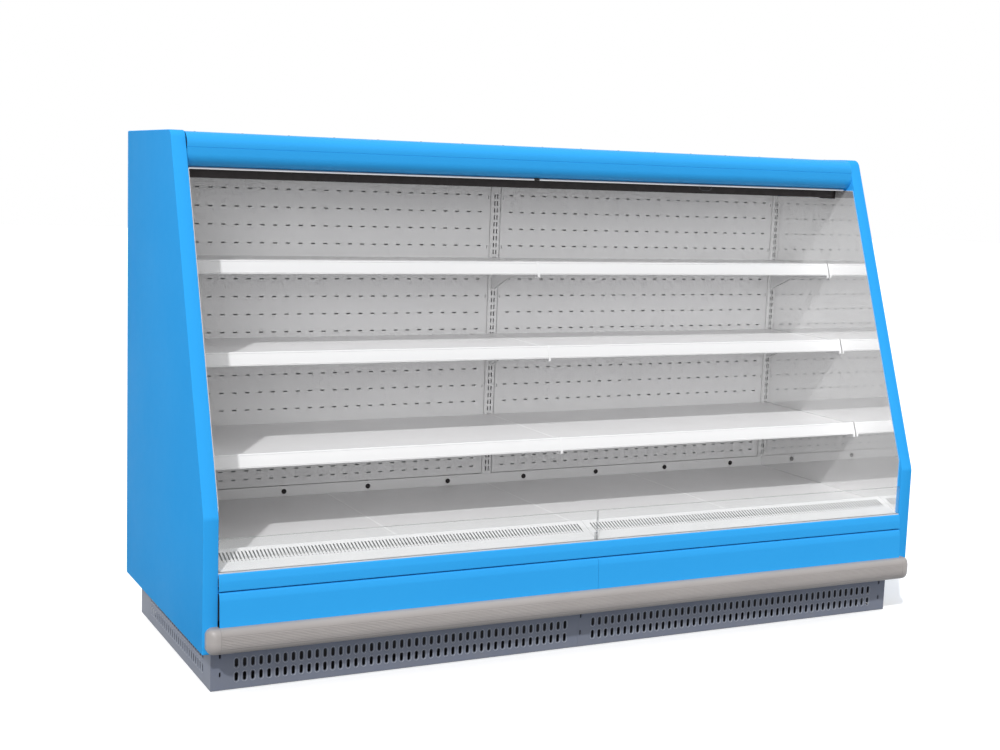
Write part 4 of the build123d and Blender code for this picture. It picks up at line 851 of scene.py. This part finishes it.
def levelling_feet():
    """Turned pads on threaded studs with lock nuts."""
    thread = [(8.0 - 0.8 * (i % 2), 14 + 1.25 * i) for i in range(37)]
    pad = [(19, 0), (22, 1.5), (22, 4), (19, 8), (12, 11), (9, 13)]
    foot = lathe(pad + thread, 16)
    nut = eased(lathe([(13, 0), (13, 8)], 6, Matrix.Translation((0, 0, 50))), 0.8, 1)
    whole = as_mesh(joined([foot, nut]))
    feet = row_of(whole, "zinc_steel", 3, (1200, 0, 0), (-1200, 105, 0), 2, (0, 750, 0))
    piece("threaded_feet", [feet], "zinc_steel", stands_for=["levelling_feet"], smooth=30)


# ---------------------------------------------------------------- back of the product space
# first row, rows and pitch of the back panels' slots, in three bands
BACK_BANDS = ((458.0, 7, 30.18), (699.4, 3, 60.3), (905.6, 10, 60.6))
SLIT_HEIGHTS = (756.0, 1085.0, 1265.0, 1442.0)
FOLD = 14.0                             # depth of the panels' folded edges
EASE = 4.0                              # sloped edges of the uprights
UPRIGHT_SHEET = 2.0
CHANNEL_FOOT = 265.0
CHANNEL_BACK = 915.0


def back_panels():
    """Perforated panels: bands of short slots, a few latch slits beside the uprights, folded edges."""
    bands = [(row, rows, pitch, 16, 4, 0) for row, rows, pitch in BACK_BANDS]
    slits = [(height, 1, 20, 2.2, 13, 0) for height in SLIT_HEIGHTS]
    foot, back = SILL_TOP + 0.5, BACK_FACE + FOLD
    groups = {"right": [(29.5, 1, 6, slits), (62.5, 26, 45, bands), (1219, 1, 6, slits)]}
    groups["left"] = [(-first - pitch * (columns - 1), columns, pitch, blocks)
                      for first, columns, pitch, blocks in reversed(groups["right"])]
    for side in HANDS:
        start, end = on_side(side, 20, 1226.5)
        sheet = punched((start, end, foot, LINER), SHEET, groups[side], "white_steel",
                        Matrix.Translation((0, BACK_FACE, 0)))
        folds = [((start, BACK_FACE, z), (end, back, z + SHEET)) for z in (foot, LINER - SHEET)]
        folds += [((x, BACK_FACE, foot), (x + SHEET, back, LINER)) for x in (start, end - SHEET)]
        piece(f"perforated_back_{side}", [*sheet, boxes(*folds)], "white_steel",
              stands_for=[f"back_panel_{side}"])


def uprights():
    """Slotted uprights at the shelf hooks' pitch: a face with sloped edges, two walls and a closed foot."""
    hooks = [(446.5, 41, 25, 4.6, 17, 0)]
    channel = BACK_FACE + SHEET + UPRIGHT_SHEET
    for name, start, end, first, columns, pitch in (("left", -INNER, -1226.5, -1242.5, 1, 8),
                                                    ("centre", -20, 20, -5.3, 2, 10.6),
                                                    ("right", 1226.5, INNER, 1242.5, 1, 8)):
        ease_left = 0 if name == "left" else EASE
        ease_right = 0 if name == "right" else EASE
        face = punched((start + ease_left, end - ease_right, SILL_TOP, LINER), UPRIGHT_SHEET,
                       [(first, columns, pitch, hooks)], "white_steel",
                       Matrix.Translation((0, UPRIGHT_FACE, 0)))
        for x, ease in ((start, ease_left), (end, -ease_right)):
            if ease:
                wedge = [(x, BACK_FACE + 0.5), (x + ease, UPRIGHT_FACE),
                         (x + ease, UPRIGHT_FACE + UPRIGHT_SHEET), (x + ease * 0.8, BACK_FACE + 0.5)]
                face.append(loft([[(a, b, z) for a, b in wedge] for z in (SILL_TOP, LINER)]))
        walls = []
        for x in (start, end - UPRIGHT_SHEET):
            walls.append(((x, BACK_FACE, SILL_TOP), (x + UPRIGHT_SHEET, CHANNEL_BACK, LINER)))
            walls.append(((x, channel, CHANNEL_FOOT), (x + UPRIGHT_SHEET, CHANNEL_BACK, SILL_TOP)))
        walls.append(((start, channel - UPRIGHT_SHEET, CHANNEL_FOOT), (end, channel, SILL_TOP)))
        piece(f"slotted_upright_{name}", [*face, boxes(*walls)], "white_steel",
              stands_for=[f"upright_{name}"])


def plugs():
    """Push-in plugs with domed heads along the sill."""
    head = [(3.4, -8), (3.4, 0), (9, 0), (9, 1.1), (8.3, 2.6), (6.6, 3.9), (4.0, 4.7), (1.2, 5.0)]
    plug = lathe(head, 20, Matrix.Rotation(math.pi / 2, 4, "X"))
    whole = row_of(plug, "black_plastic", 8, (HALF / 4, 0, 0), (-HALF * 7 / 8, BACK_FACE, 408))
    piece("sill_plugs", [whole], "black_plastic", stands_for=["back_plugs"])


# ---------------------------------------------------------------- deck and shelves
GRILLE_CREST = Vector((112, 410.5))
GRILLE_FOOT = Vector((12.5, 371.5))
GRILLE_COLUMNS = 106
GRILLE_PITCH = 11.4


def return_grilles():
    """Sloping grilles: long slots, each with a short one under it across the fold."""
    slope = (GRILLE_CREST - GRILLE_FOOT).length
    tilt = math.atan2(GRILLE_CREST.x - GRILLE_FOOT.x, GRILLE_CREST.y - GRILLE_FOOT.y)
    rear = rounded([(116, 373.8), (116, 410.5), (111, 410.5)], (0, 1.2, 0))
    front = [(13.5, 371.5), (12.5, 371.5), (12.5, 350.3)]
    blocks = [(44.9, 1, 7.2, 4.6, 4.6, 0), (70.2, 1, 43.4, 5.2, 41, 0)]
    first = -GRILLE_PITCH * (GRILLE_COLUMNS - 1) / 2
    for side in HANDS:
        start, end = on_side(side, 0.5, INNER)
        turn = Matrix.Translation(((start + end) / 2, *GRILLE_FOOT)) @ Matrix.Rotation(-tilt, 4, "X")
        half = (end - start) / 2
        sheet = punched((-half, half, 0, slope), SHEET, [(first, GRILLE_COLUMNS, GRILLE_PITCH, blocks)],
                        "white_steel", turn)
        folds = [run(thick(fold), start, end) for fold in (rear, front)]
        piece(f"slotted_grille_{side}", [*sheet, *folds], "rail_plastic", body=f"return_grille_{side}_body",
              stands_for=[f"return_grille_{side}"])


SHELVES = {"bottom": 658.0, "middle": 956.0, "top": 1233.0}
RAIL_END = 1244.5
JOINERS = (0.0, -1240.0, 1240.0)
JOINER_HALF = 4.5


def shelf_front(height):
    """How far back a shelf's front edge lies, along the slant of the end panels."""
    return (height - KINK) * SLOPE + 229


def rail_path(height, out=0.0):
    """Label rail's outer path over a shelf's front, moved outwards by a distance."""
    y = shelf_front(height)
    corners = [(y + 11, height - 28), (y + 11, height), (y, height), (y - 16, height - 42),
               (y - 10, height - 44)]
    path = rounded(corners, (0, 1.5, 2.5, 1.5, 0), steps=3)
    return moved_path(path, -out) if out else path


def rail_beads(height):
    """Outlines of the beads along the upper and lower edges of a rail's face."""
    face = Vector((-16, -42)).normalized()
    normal = Vector((face.y, -face.x))
    beads = []
    for distance in (4.5, 40.0):
        middle = Vector((shelf_front(height), height)) + face * distance
        beads.append([tuple(middle + face * a + normal * b) for a, b in
                      ((-1.6, -0.2), (-0.8, 1.0), (0.8, 1.0), (1.6, -0.2))])
    return beads


def rail_joiner(height, x):
    """Clip over a joint of a rail, with a nose under its foot."""
    y = shelf_front(height)
    band = run(thick(rail_path(height, 1.4), 1.2), x - JOINER_HALF, x + JOINER_HALF)
    corners = [(y - 17, height - 41), (y - 19, height - 52), (y - 11, height - 55), (y - 8, height - 44)]
    nose = rounded(corners, (1, 3, 3, 1), closed=True, steps=4)
    return [band, eased(run(nose, x - JOINER_HALF + 1, x + JOINER_HALF - 1), 0.8, 2)]


def joint_highlight_strip(x, front, back, rest, half=3.0, thickness=0.9):
    """Flat bright strip over a joint, painted as the highlight along the seam."""
    return eased(boxes(((x - half, front, rest), (x + half, back, rest + thickness))), 0.4, 1)


def price_rails():
    """Label rails with beaded faces, joiners over their ends, and bright strips between the shelves' pans
    that paint the highlight along their joint.
    """
    for name, height in SHELVES.items():
        parts = []
        for start, end in ((-RAIL_END, -0.25), (0.25, RAIL_END)):
            parts.append(run(thick(rail_path(height), 2.5), start, end))
            parts += [run(outline, start, end) for outline in rail_beads(height)]
        piece(f"label_rail_{name}", parts, "rail_plastic", stands_for=[f"price_rails_{name}"])
        joiners = [part for x in JOINERS for part in rail_joiner(height, x)]
        piece(f"rail_joiners_{name}", joiners, "rail_plastic")
        piece(f"pan_joint_{name}", [joint_highlight_strip(0.0, shelf_front(height) + 12, UPRIGHT_FACE - 2, height - 7)],
              "joint_highlight_strip")


def tray_joints():
    """Flat bright strips over the joints of the deck trays, painted as the light along the seams."""
    for index, x in enumerate((-623.2, 0.0, 623.2), 1):
        piece(f"tray_joint_{index}", [joint_highlight_strip(x, 119, UPRIGHT_FACE - 3, 392)], "joint_highlight_strip",
              body=f"deck_tray_{index}_body")


OUTLET_FRONT = 475.5
OUTLET_BACK = 558.0
OUTLET_TOP = 1509.0
VANE_PITCH = 12.0
VANE_HALF = 0.3                         # half of a vane's thickness


def air_outlet():
    """Black plate and frame of the air outlet with a fine grid of vanes, and seals at its ends."""
    plate = run(thick([(488, 1580), (474, 1580), (474, LINER)]), -INNER, INNER)
    inside = INNER - 2
    frame_bars = boxes(((-INNER, OUTLET_BACK, LINER), (INNER, OUTLET_BACK + 2, OUTLET_TOP)),
                       ((-INNER, OUTLET_FRONT, LINER), (-inside, OUTLET_BACK, OUTLET_TOP)),
                       ((inside, OUTLET_FRONT, LINER), (INNER, OUTLET_BACK, OUTLET_TOP)))
    foot, top = LINER + 1, OUTLET_TOP - 1
    across = boxes(((-VANE_HALF, OUTLET_FRONT + 0.5, foot), (VANE_HALF, OUTLET_BACK, top)))
    along = boxes(((-inside, -VANE_HALF, foot), (inside, VANE_HALF, top)))
    vanes = [row_of(across, "black_plastic", 207, (VANE_PITCH, 0, 0), (-1236, 0, 0)),
             row_of(along, "black_plastic", 6, (0, VANE_PITCH, 0), (0, 488, 0))]
    ends = [on_side(side, INNER - 0.2, HALF - 0.3) for side in HANDS]
    seals = []
    for start, end in ends:
        seals += [((start, 468.4, LINER - 3.6), (end, OUTLET_FRONT, 1517)),
                  ((start, OUTLET_FRONT, LINER - 3.6), (end, OUTLET_BACK + 2, LINER))]
    piece("outlet_grid", [plate, frame_bars, *vanes, boxes(*seals)], "black_plastic",
          stands_for=["discharge_honeycomb"])
    strips = [((start, OUTLET_BACK + 2, LINER - 3.6), (end, 914, LINER)) for start, end in ends]
    piece("liner_seals", [boxes(*strips)], "white_steel")


# ---------------------------------------------------------------- night blinds
ROLLER = (449.0, 1553.0)
ROLL_RADIUS = 18.6
CORE_RADIUS = 9.0
CLOTH_LENGTH = 1230.0
CLOTH_HANG = 38.0                       # how much of it has left the roller at rest
CLOTH_STEP = 0.62                       # growth of the roll's radius per turn
STRETCH_ROWS = 48                       # close rows at the bar
SPANS = {"left": (-1243.5, -65.5), "right": (-44.5, 1243.5)}
BAR_SPANS = {"left": (-1237.5, -65.5), "right": (-44.5, 1237.5)}
BAR_SECTION = ((410, 1510.2), (434, 1510.2), (434, 1517.7), (413, 1517.7), (410, 1514.7))
CLIP_X = (SPANS["left"][1] + SPANS["right"][0]) / 2
PULL_X = 620.0


def cloth_path():
    """The cloth in section: wound on its roller, then hanging to the bar, ending in its close rows."""
    wound = CLOTH_LENGTH - CLOTH_HANG
    step = math.pi / 10
    path, length, turn = [], 0.0, math.pi
    while length < wound:
        radius = ROLL_RADIUS - CLOTH_STEP * (turn - math.pi) / (2 * math.pi)
        path.append((ROLLER[0] + radius * math.cos(turn), ROLLER[1] + radius * math.sin(turn)))
        length += radius * step
        turn += step
    path.reverse()
    free = path[-1]
    hang = [(free[0], free[1] - 33.0 * i / 6) for i in range(1, 7)]
    low = hang[-1]
    rows = [(low[0] - 0.4 * i / STRETCH_ROWS, low[1] - 3.0 * i / STRETCH_ROWS)
            for i in range(1, STRETCH_ROWS + 1)]
    return path + hang + rows


def blind_core(side):
    """Roller tube with its pin and flanges."""
    start, end = SPANS[side]
    long = end - start

    def turned(profile, sides, x):
        across = Matrix.Rotation(math.pi / 2, 4, "Y")
        return lathe(profile, sides, Matrix.Translation((x, *ROLLER)) @ across)

    core = turned([(CORE_RADIUS - 1, 0), (CORE_RADIUS - 0.4, long)], 20, start)
    pin = turned([(3.2, 0), (3.9, 0.8), (3.9, long + 11.2), (3.2, long + 12)], 12, start - 6)
    flanges = [turned([(17, 0), (18.5, 0.6), (18.5, 1.6), (17, 2.2)], 28, x) for x in (start, end - 2.2)]
    piece(f"blind_core_{side}", [core, pin, *flanges], "aluminium", body=f"blind_roller_{side}_body",
          stands_for=[f"blind_roller_{side}"])


def blind_cloth(side):
    """Cloth of one width, wound on the roller and hanging to the bar."""
    path = cloth_path()
    low = max(SPANS[side][0] + 3, BAR_SPANS[side][0] + 1)
    high = min(SPANS[side][1] - 3, BAR_SPANS[side][1] - 1)
    bm = bmesh.new()
    grid = [[bm.verts.new((low + (high - low) * i / 12, y, z)) for i in range(13)] for y, z in path]
    for first, second in zip(grid, grid[1:]):
        for i in range(12):
            bm.faces.new((first[i], first[i + 1], second[i + 1], second[i]))
    cloth = bpy.data.meshes.new(f"blind_cloth_{side}")
    bm.to_mesh(cloth)
    bm.free()
    made = piece(f"blind_cloth_{side}", [cloth], "blind_fabric", body=None, smooth=180)
    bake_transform(made)


def blind_bar(side):
    """Bar at the cloth's foot; the right one has a pull hanging from it."""
    body = f"blind_bar_{side}_body"
    if side == "right":
        pull = tube([(PULL_X + x, y, z) for x, y, z in
                     ((-26, 413, 1512), (-26, 408, 1508), (-24, 407.5, 1498), (0, 407.5, 1494),
                      (24, 407.5, 1498), (26, 408, 1508), (26, 413, 1512))], 1.4)
        piece("blind_pull_loop", [pull], "black_steel", body=body)
    section = rounded(BAR_SECTION, (1.5, 1.5, 1, 2, 1.5), closed=True, steps=3)
    piece(f"blind_rail_{side}", [run(section, *BAR_SPANS[side])], "aluminium", body=body,
          stands_for=[f"blind_bar_{side}"])


def blinds():
    """Two roller blinds, and the clip where they meet."""
    for side in SPANS:
        blind_core(side)
        blind_cloth(side)
        blind_bar(side)
    knob = lathe([(4, 1510.5), (8.5, 1510.8), (9.5, 1512), (9.5, 1516.5), (9, 1517.8)], 20,
                 Matrix.Translation((CLIP_X, 419.5, 0)))
    piece("blind_knob", [knob], "black_plastic", stands_for=["blind_clip"])


# ---------------------------------------------------------------- fans and coils
def blade(inner, outer, thickness):
    """Curved, twisted fan blade reaching out along +X."""
    rings = []
    for i in range(7):
        reach = i / 6
        radius = inner + (outer - inner) * reach
        pitch = math.radians(38 - 18 * reach)
        chord = 22 + 26 * reach * (1.25 - 0.5 * reach)
        ring = []
        for side, order in ((1, range(7)), (-1, range(6, -1, -1))):
            for j in order:
                along = (j / 6 - 0.5) * chord
                rise = 3.0 * (1 - (2 * j / 6 - 1) ** 2) + side * thickness / 2 * (1 - abs(j / 6 - 0.5))
                ring.append((radius - 0.0012 * along ** 2, along * math.cos(pitch) - rise * math.sin(pitch),
                             along * math.sin(pitch) * 0.55 + rise * math.cos(pitch) + 7.5))
        rings.append(ring)
    return loft(rings)


def fan_rotor(radius, turn):
    """Hub with a rounded nose and five blades, placed by a matrix."""
    hub = lathe([(20, 0.4), (22, 2), (22, 12), (19, 14.6), (8, 15)], 28)
    blades = repeated("ring", blade(20, radius - 1, 1.8), "black_plastic", Count=5)
    for mesh in (hub, blades):
        mesh.transform(turn)
    return [hub, blades]


FAN_PITCH = 833.33                      # between the fans on the inclined plate


def fans():
    """Rotors on the inclined fan plate and on the condenser."""
    tilt = Matrix.Rotation(math.radians(-29.9), 4, "X")
    lift = Matrix.Translation((0, 0, 2.5))
    for name, x in (("left", -FAN_PITCH), ("centre", 0.0), ("right", FAN_PITCH)):
        turn = Matrix.Translation((x, 210.5, 316.5)) @ tilt @ lift
        piece(f"rotor_{name}", fan_rotor(68, turn), "black_plastic", body=f"evaporator_fan_{name}_body",
              stands_for=[f"evaporator_fan_{name}"])
    turn = Matrix.Translation((600, 262, 139.5)) @ Matrix.Rotation(math.pi / 2, 4, "X") @ lift
    piece("condenser_rotor", fan_rotor(64, turn), "black_plastic", body="condenser_fan_body",
          stands_for=["condenser_fan"])


def coil_dressing(name, x_span, y_span, z_span, pitch, rows):
    """Dense fins between a coil's plates, and hairpin bends at both ends."""
    (left, right), (front, back), (foot, top) = x_span, y_span, z_span
    fin = boxes(((-0.2, front + 2, foot + 3), (0.2, back - 2, top - 2)))
    count = int((right - left - 8) // pitch)
    fins = row_of(fin, "aluminium", count, (pitch, 0, 0), ((left + right - pitch * (count - 1)) / 2, 0, 0))
    piece(f"{name}_fins", [fins], "aluminium")
    step = (top - foot - 16) / rows
    bends = []
    for x, out in ((left, -16), (right, 16)):
        for i in range(rows):
            middle = foot + 8 + step * (i + 0.5)
            low, high = middle - step * 0.25, middle + step * 0.25
            for y in (front + (back - front) * 0.28, front + (back - front) * 0.72):
                bends.append(tube([(x, y, low), (x + out * 0.7, y, low), (x + out, y, low + 2),
                                   (x + out, y, high - 2), (x + out * 0.7, y, high), (x, y, high)], 4.0))
    piece(f"{name}_bends", bends, "copper_pipe")


COMPRESSOR = (930, 480)                 # middle of the shell


def compressor():
    """Hermetic shell with a welded seam, on a plate and rubber feet, with its pipes and terminal cover."""
    x, y = COMPRESSOR
    shell = lathe([(30, 79), (66, 83), (78, 94), (80, 108), (80, 146), (82.5, 147), (82.5, 151), (80, 152),
                   (80, 172), (75, 188), (60, 198), (36, 202.5), (8, 203.4)], 40,
                  Matrix.Translation((x, y, 0)))
    plate = eased(boxes(((x - 85, y - 70, 74.5), (x + 85, y + 70, 78.5))), 1.5, 2)
    grommet = lathe([(12, 64.5), (12, 67), (9.5, 68), (9.5, 71), (12, 72), (12, 74.5)], 16)
    feet = row_of(grommet, "black_steel", 2, (156, 0, 0), (x - 78, y - 62, 0), 2, (0, 124, 0))
    cover = eased(boxes(((x + 74, y - 28, 110), (x + 89, y + 28, 160))), 4, 3)
    piece("hermetic_shell", [shell, plate, feet, cover], "black_steel", stands_for=["compressor"])
    pipes = [tube([(858, 450, 150), (836, 444, 150), (812, 440, 152), (800, 400, 160), (790, 330, 180),
                   (784, 210, 190)], 5.0),
             tube([(860, 512, 120), (838, 522, 120), (812, 530, 118), (800, 470, 100), (790, 330, 96),
                   (784, 210, 92)], 4.0)]
    piece("suction_and_discharge", pipes, "copper_pipe")


# ---------------------------------------------------------------- rear and top
JOINTS = (-625, 0, 625)
COVER_HALF = 22
REAR_WALL = 955.0
ROOF = 1620.0
COVER_THICKNESS = 1.2
SCREW_OFFSET = 16                       # cover screws from their joint


def rear_details():
    """Joint covers and screws on the rear wall and the roof."""
    rear, roof = REAR_WALL + COVER_THICKNESS, ROOF + COVER_THICKNESS
    covers = [boxes(((x - COVER_HALF, REAR_WALL, 240), (x + COVER_HALF, rear, 1578))) for x in JOINTS]
    covers += [boxes(((x - COVER_HALF, 520, ROOF), (x + COVER_HALF, 950, roof))) for x in JOINTS]
    piece("joint_covers", [eased(cover, 0.5, 1) for cover in covers], "foamed_liner")
    head = lathe([(5, 0), (5, 0.6), (4, 1.7), (1.5, 2.3)], 12)
    outwards = head.copy()
    outwards.transform(Matrix.Rotation(-math.pi / 2, 4, "X"))
    screws = []
    for x in (joint + offset for joint in JOINTS for offset in (-SCREW_OFFSET, SCREW_OFFSET)):
        screws.append(row_of(outwards, "zinc_steel", 1, (1, 0, 0), (x, rear, 290), 9, (0, 0, 155)))
        screws.append(row_of(head, "zinc_steel", 1, (1, 0, 0), (x, 560, roof), 4, (0, 118, 0)))
    screws.append(row_of(outwards, "zinc_steel", 17, (150, 0, 0), (-1200, REAR_WALL, 245)))
    screws.append(row_of(head, "zinc_steel", 17, (150, 0, 0), (-1200, 484, 1622)))
    piece("case_screws", screws, "zinc_steel")


# ---------------------------------------------------------------- studio
FLOOR_HALF = 30.0                       # metres, as all of the studio
DARK_UNDER = (1.25, 0.40)               # half sizes of the shaded patch under the case
SKY_LIGHT = 0.82
GROUND_LIGHT = 0.3


def floor_plane(name, tone, height, emission):
    """Level plane, with a painted shadow under the case."""
    plane = bpy.data.meshes.new(name)
    corners = [(x * FLOOR_HALF, y * FLOOR_HALF, height) for x, y in ((-1, -1), (1, -1), (1, 1), (-1, 1))]
    plane.from_pydata(corners, [], [(0, 1, 2, 3)])
    paint = Shader(name, Roughness=0.9, Specular_IOR_Level=0.1, Emission_Strength=emission)
    shade = paint.blend(paint.noise(1.5), (tone,) * 3, (tone * 0.98,) * 3)
    across, along = (paint.axis(letter).math("ABSOLUTE") < half for letter, half in zip("XY", DARK_UNDER))
    # painted shadow: under the case the floor is dark and does not glow
    shadow_patch = across * along
    glow = paint.blend(shadow_patch, (1, 1, 1), (0, 0, 0))
    plane.materials.append(paint.set(Base_Color=paint.blend(shadow_patch, shade, (0.05, 0.05, 0.05)),
                                     Emission_Color=glow))
    return linked(name, plane)


def floors():
    """Pale floor for the eye and for reflections, and a darker one for bounced light and shadows."""
    seen, bouncing = floor_plane("floor", 0.92, 0.0, 0.25), floor_plane("bounce_floor", 0.10, -0.001, 0.0)
    for stand in (seen, bouncing):
        stand.visible_camera = stand.visible_glossy = stand is seen
        stand.visible_diffuse = stand.visible_shadow = stand is not seen


def surround():
    """White to the camera; for light, a sky that dims towards the ground."""
    world = bpy.data.worlds.new("surround")
    world.use_nodes = True
    tree = world.node_tree
    tree.nodes.clear()
    generated = add_node(tree, "ShaderNodeTexCoord").outputs["Generated"]
    direction = add_node(tree, "ShaderNodeSeparateXYZ", inputs={0: generated})
    strength = add_node(tree, "ShaderNodeMapRange", inputs={
        "Value": direction.outputs["Z"], "From Min": -0.25, "From Max": 0.25,
        "To Min": GROUND_LIGHT, "To Max": SKY_LIGHT})
    lighting = add_node(tree, "ShaderNodeBackground", inputs={0: (1, 1, 1), 1: strength.outputs[0]})
    seen = add_node(tree, "ShaderNodeBackground", inputs={0: (1, 1, 1), 1: 1.0})
    to_camera = add_node(tree, "ShaderNodeLightPath").outputs["Is Camera Ray"]
    mix = add_node(tree, "ShaderNodeMixShader",
                   inputs={0: to_camera, 1: lighting.outputs[0], 2: seen.outputs[0]})
    add_node(tree, "ShaderNodeOutputWorld", inputs={0: mix.outputs[0]})
    bpy.context.scene.world = world


def lamps():
    """Key from above on the front left, and a wide, nearly level fill from the same side."""
    for name, energy, spread, direction in (("key", 2.0, 2.0, (0.72, 0.84, -1.0)),
                                            ("fill", 0.85, 40.0, (0.5, 1.0, -0.15))):
        light = bpy.data.lights.new(name, "SUN")
        light.energy = energy
        light.angle = math.radians(spread)
        linked(name, light).rotation_euler = Vector(direction).to_track_quat("-Z", "Y").to_euler()


set_camera()
dress_nodes()
end_panels()
canopy()
fascias()
bumper()
front_panes()
plinth()
levelling_feet()
back_panels()
uprights()
plugs()
return_grilles()
price_rails()
tray_joints()
air_outlet()
blinds()
fans()
coil_dressing("evaporator", x_span=(-1150, 1150), y_span=(330, 560), z_span=(265, 360), pitch=8.0, rows=3)
coil_dressing("condenser", x_span=(420, 780), y_span=(150, 196), z_span=(64.5, 214.5), pitch=5.0, rows=5)
compressor()
rear_details()
floors()
surround()
lamps()
bpy.context.scene.view_settings.view_transform = "Standard"
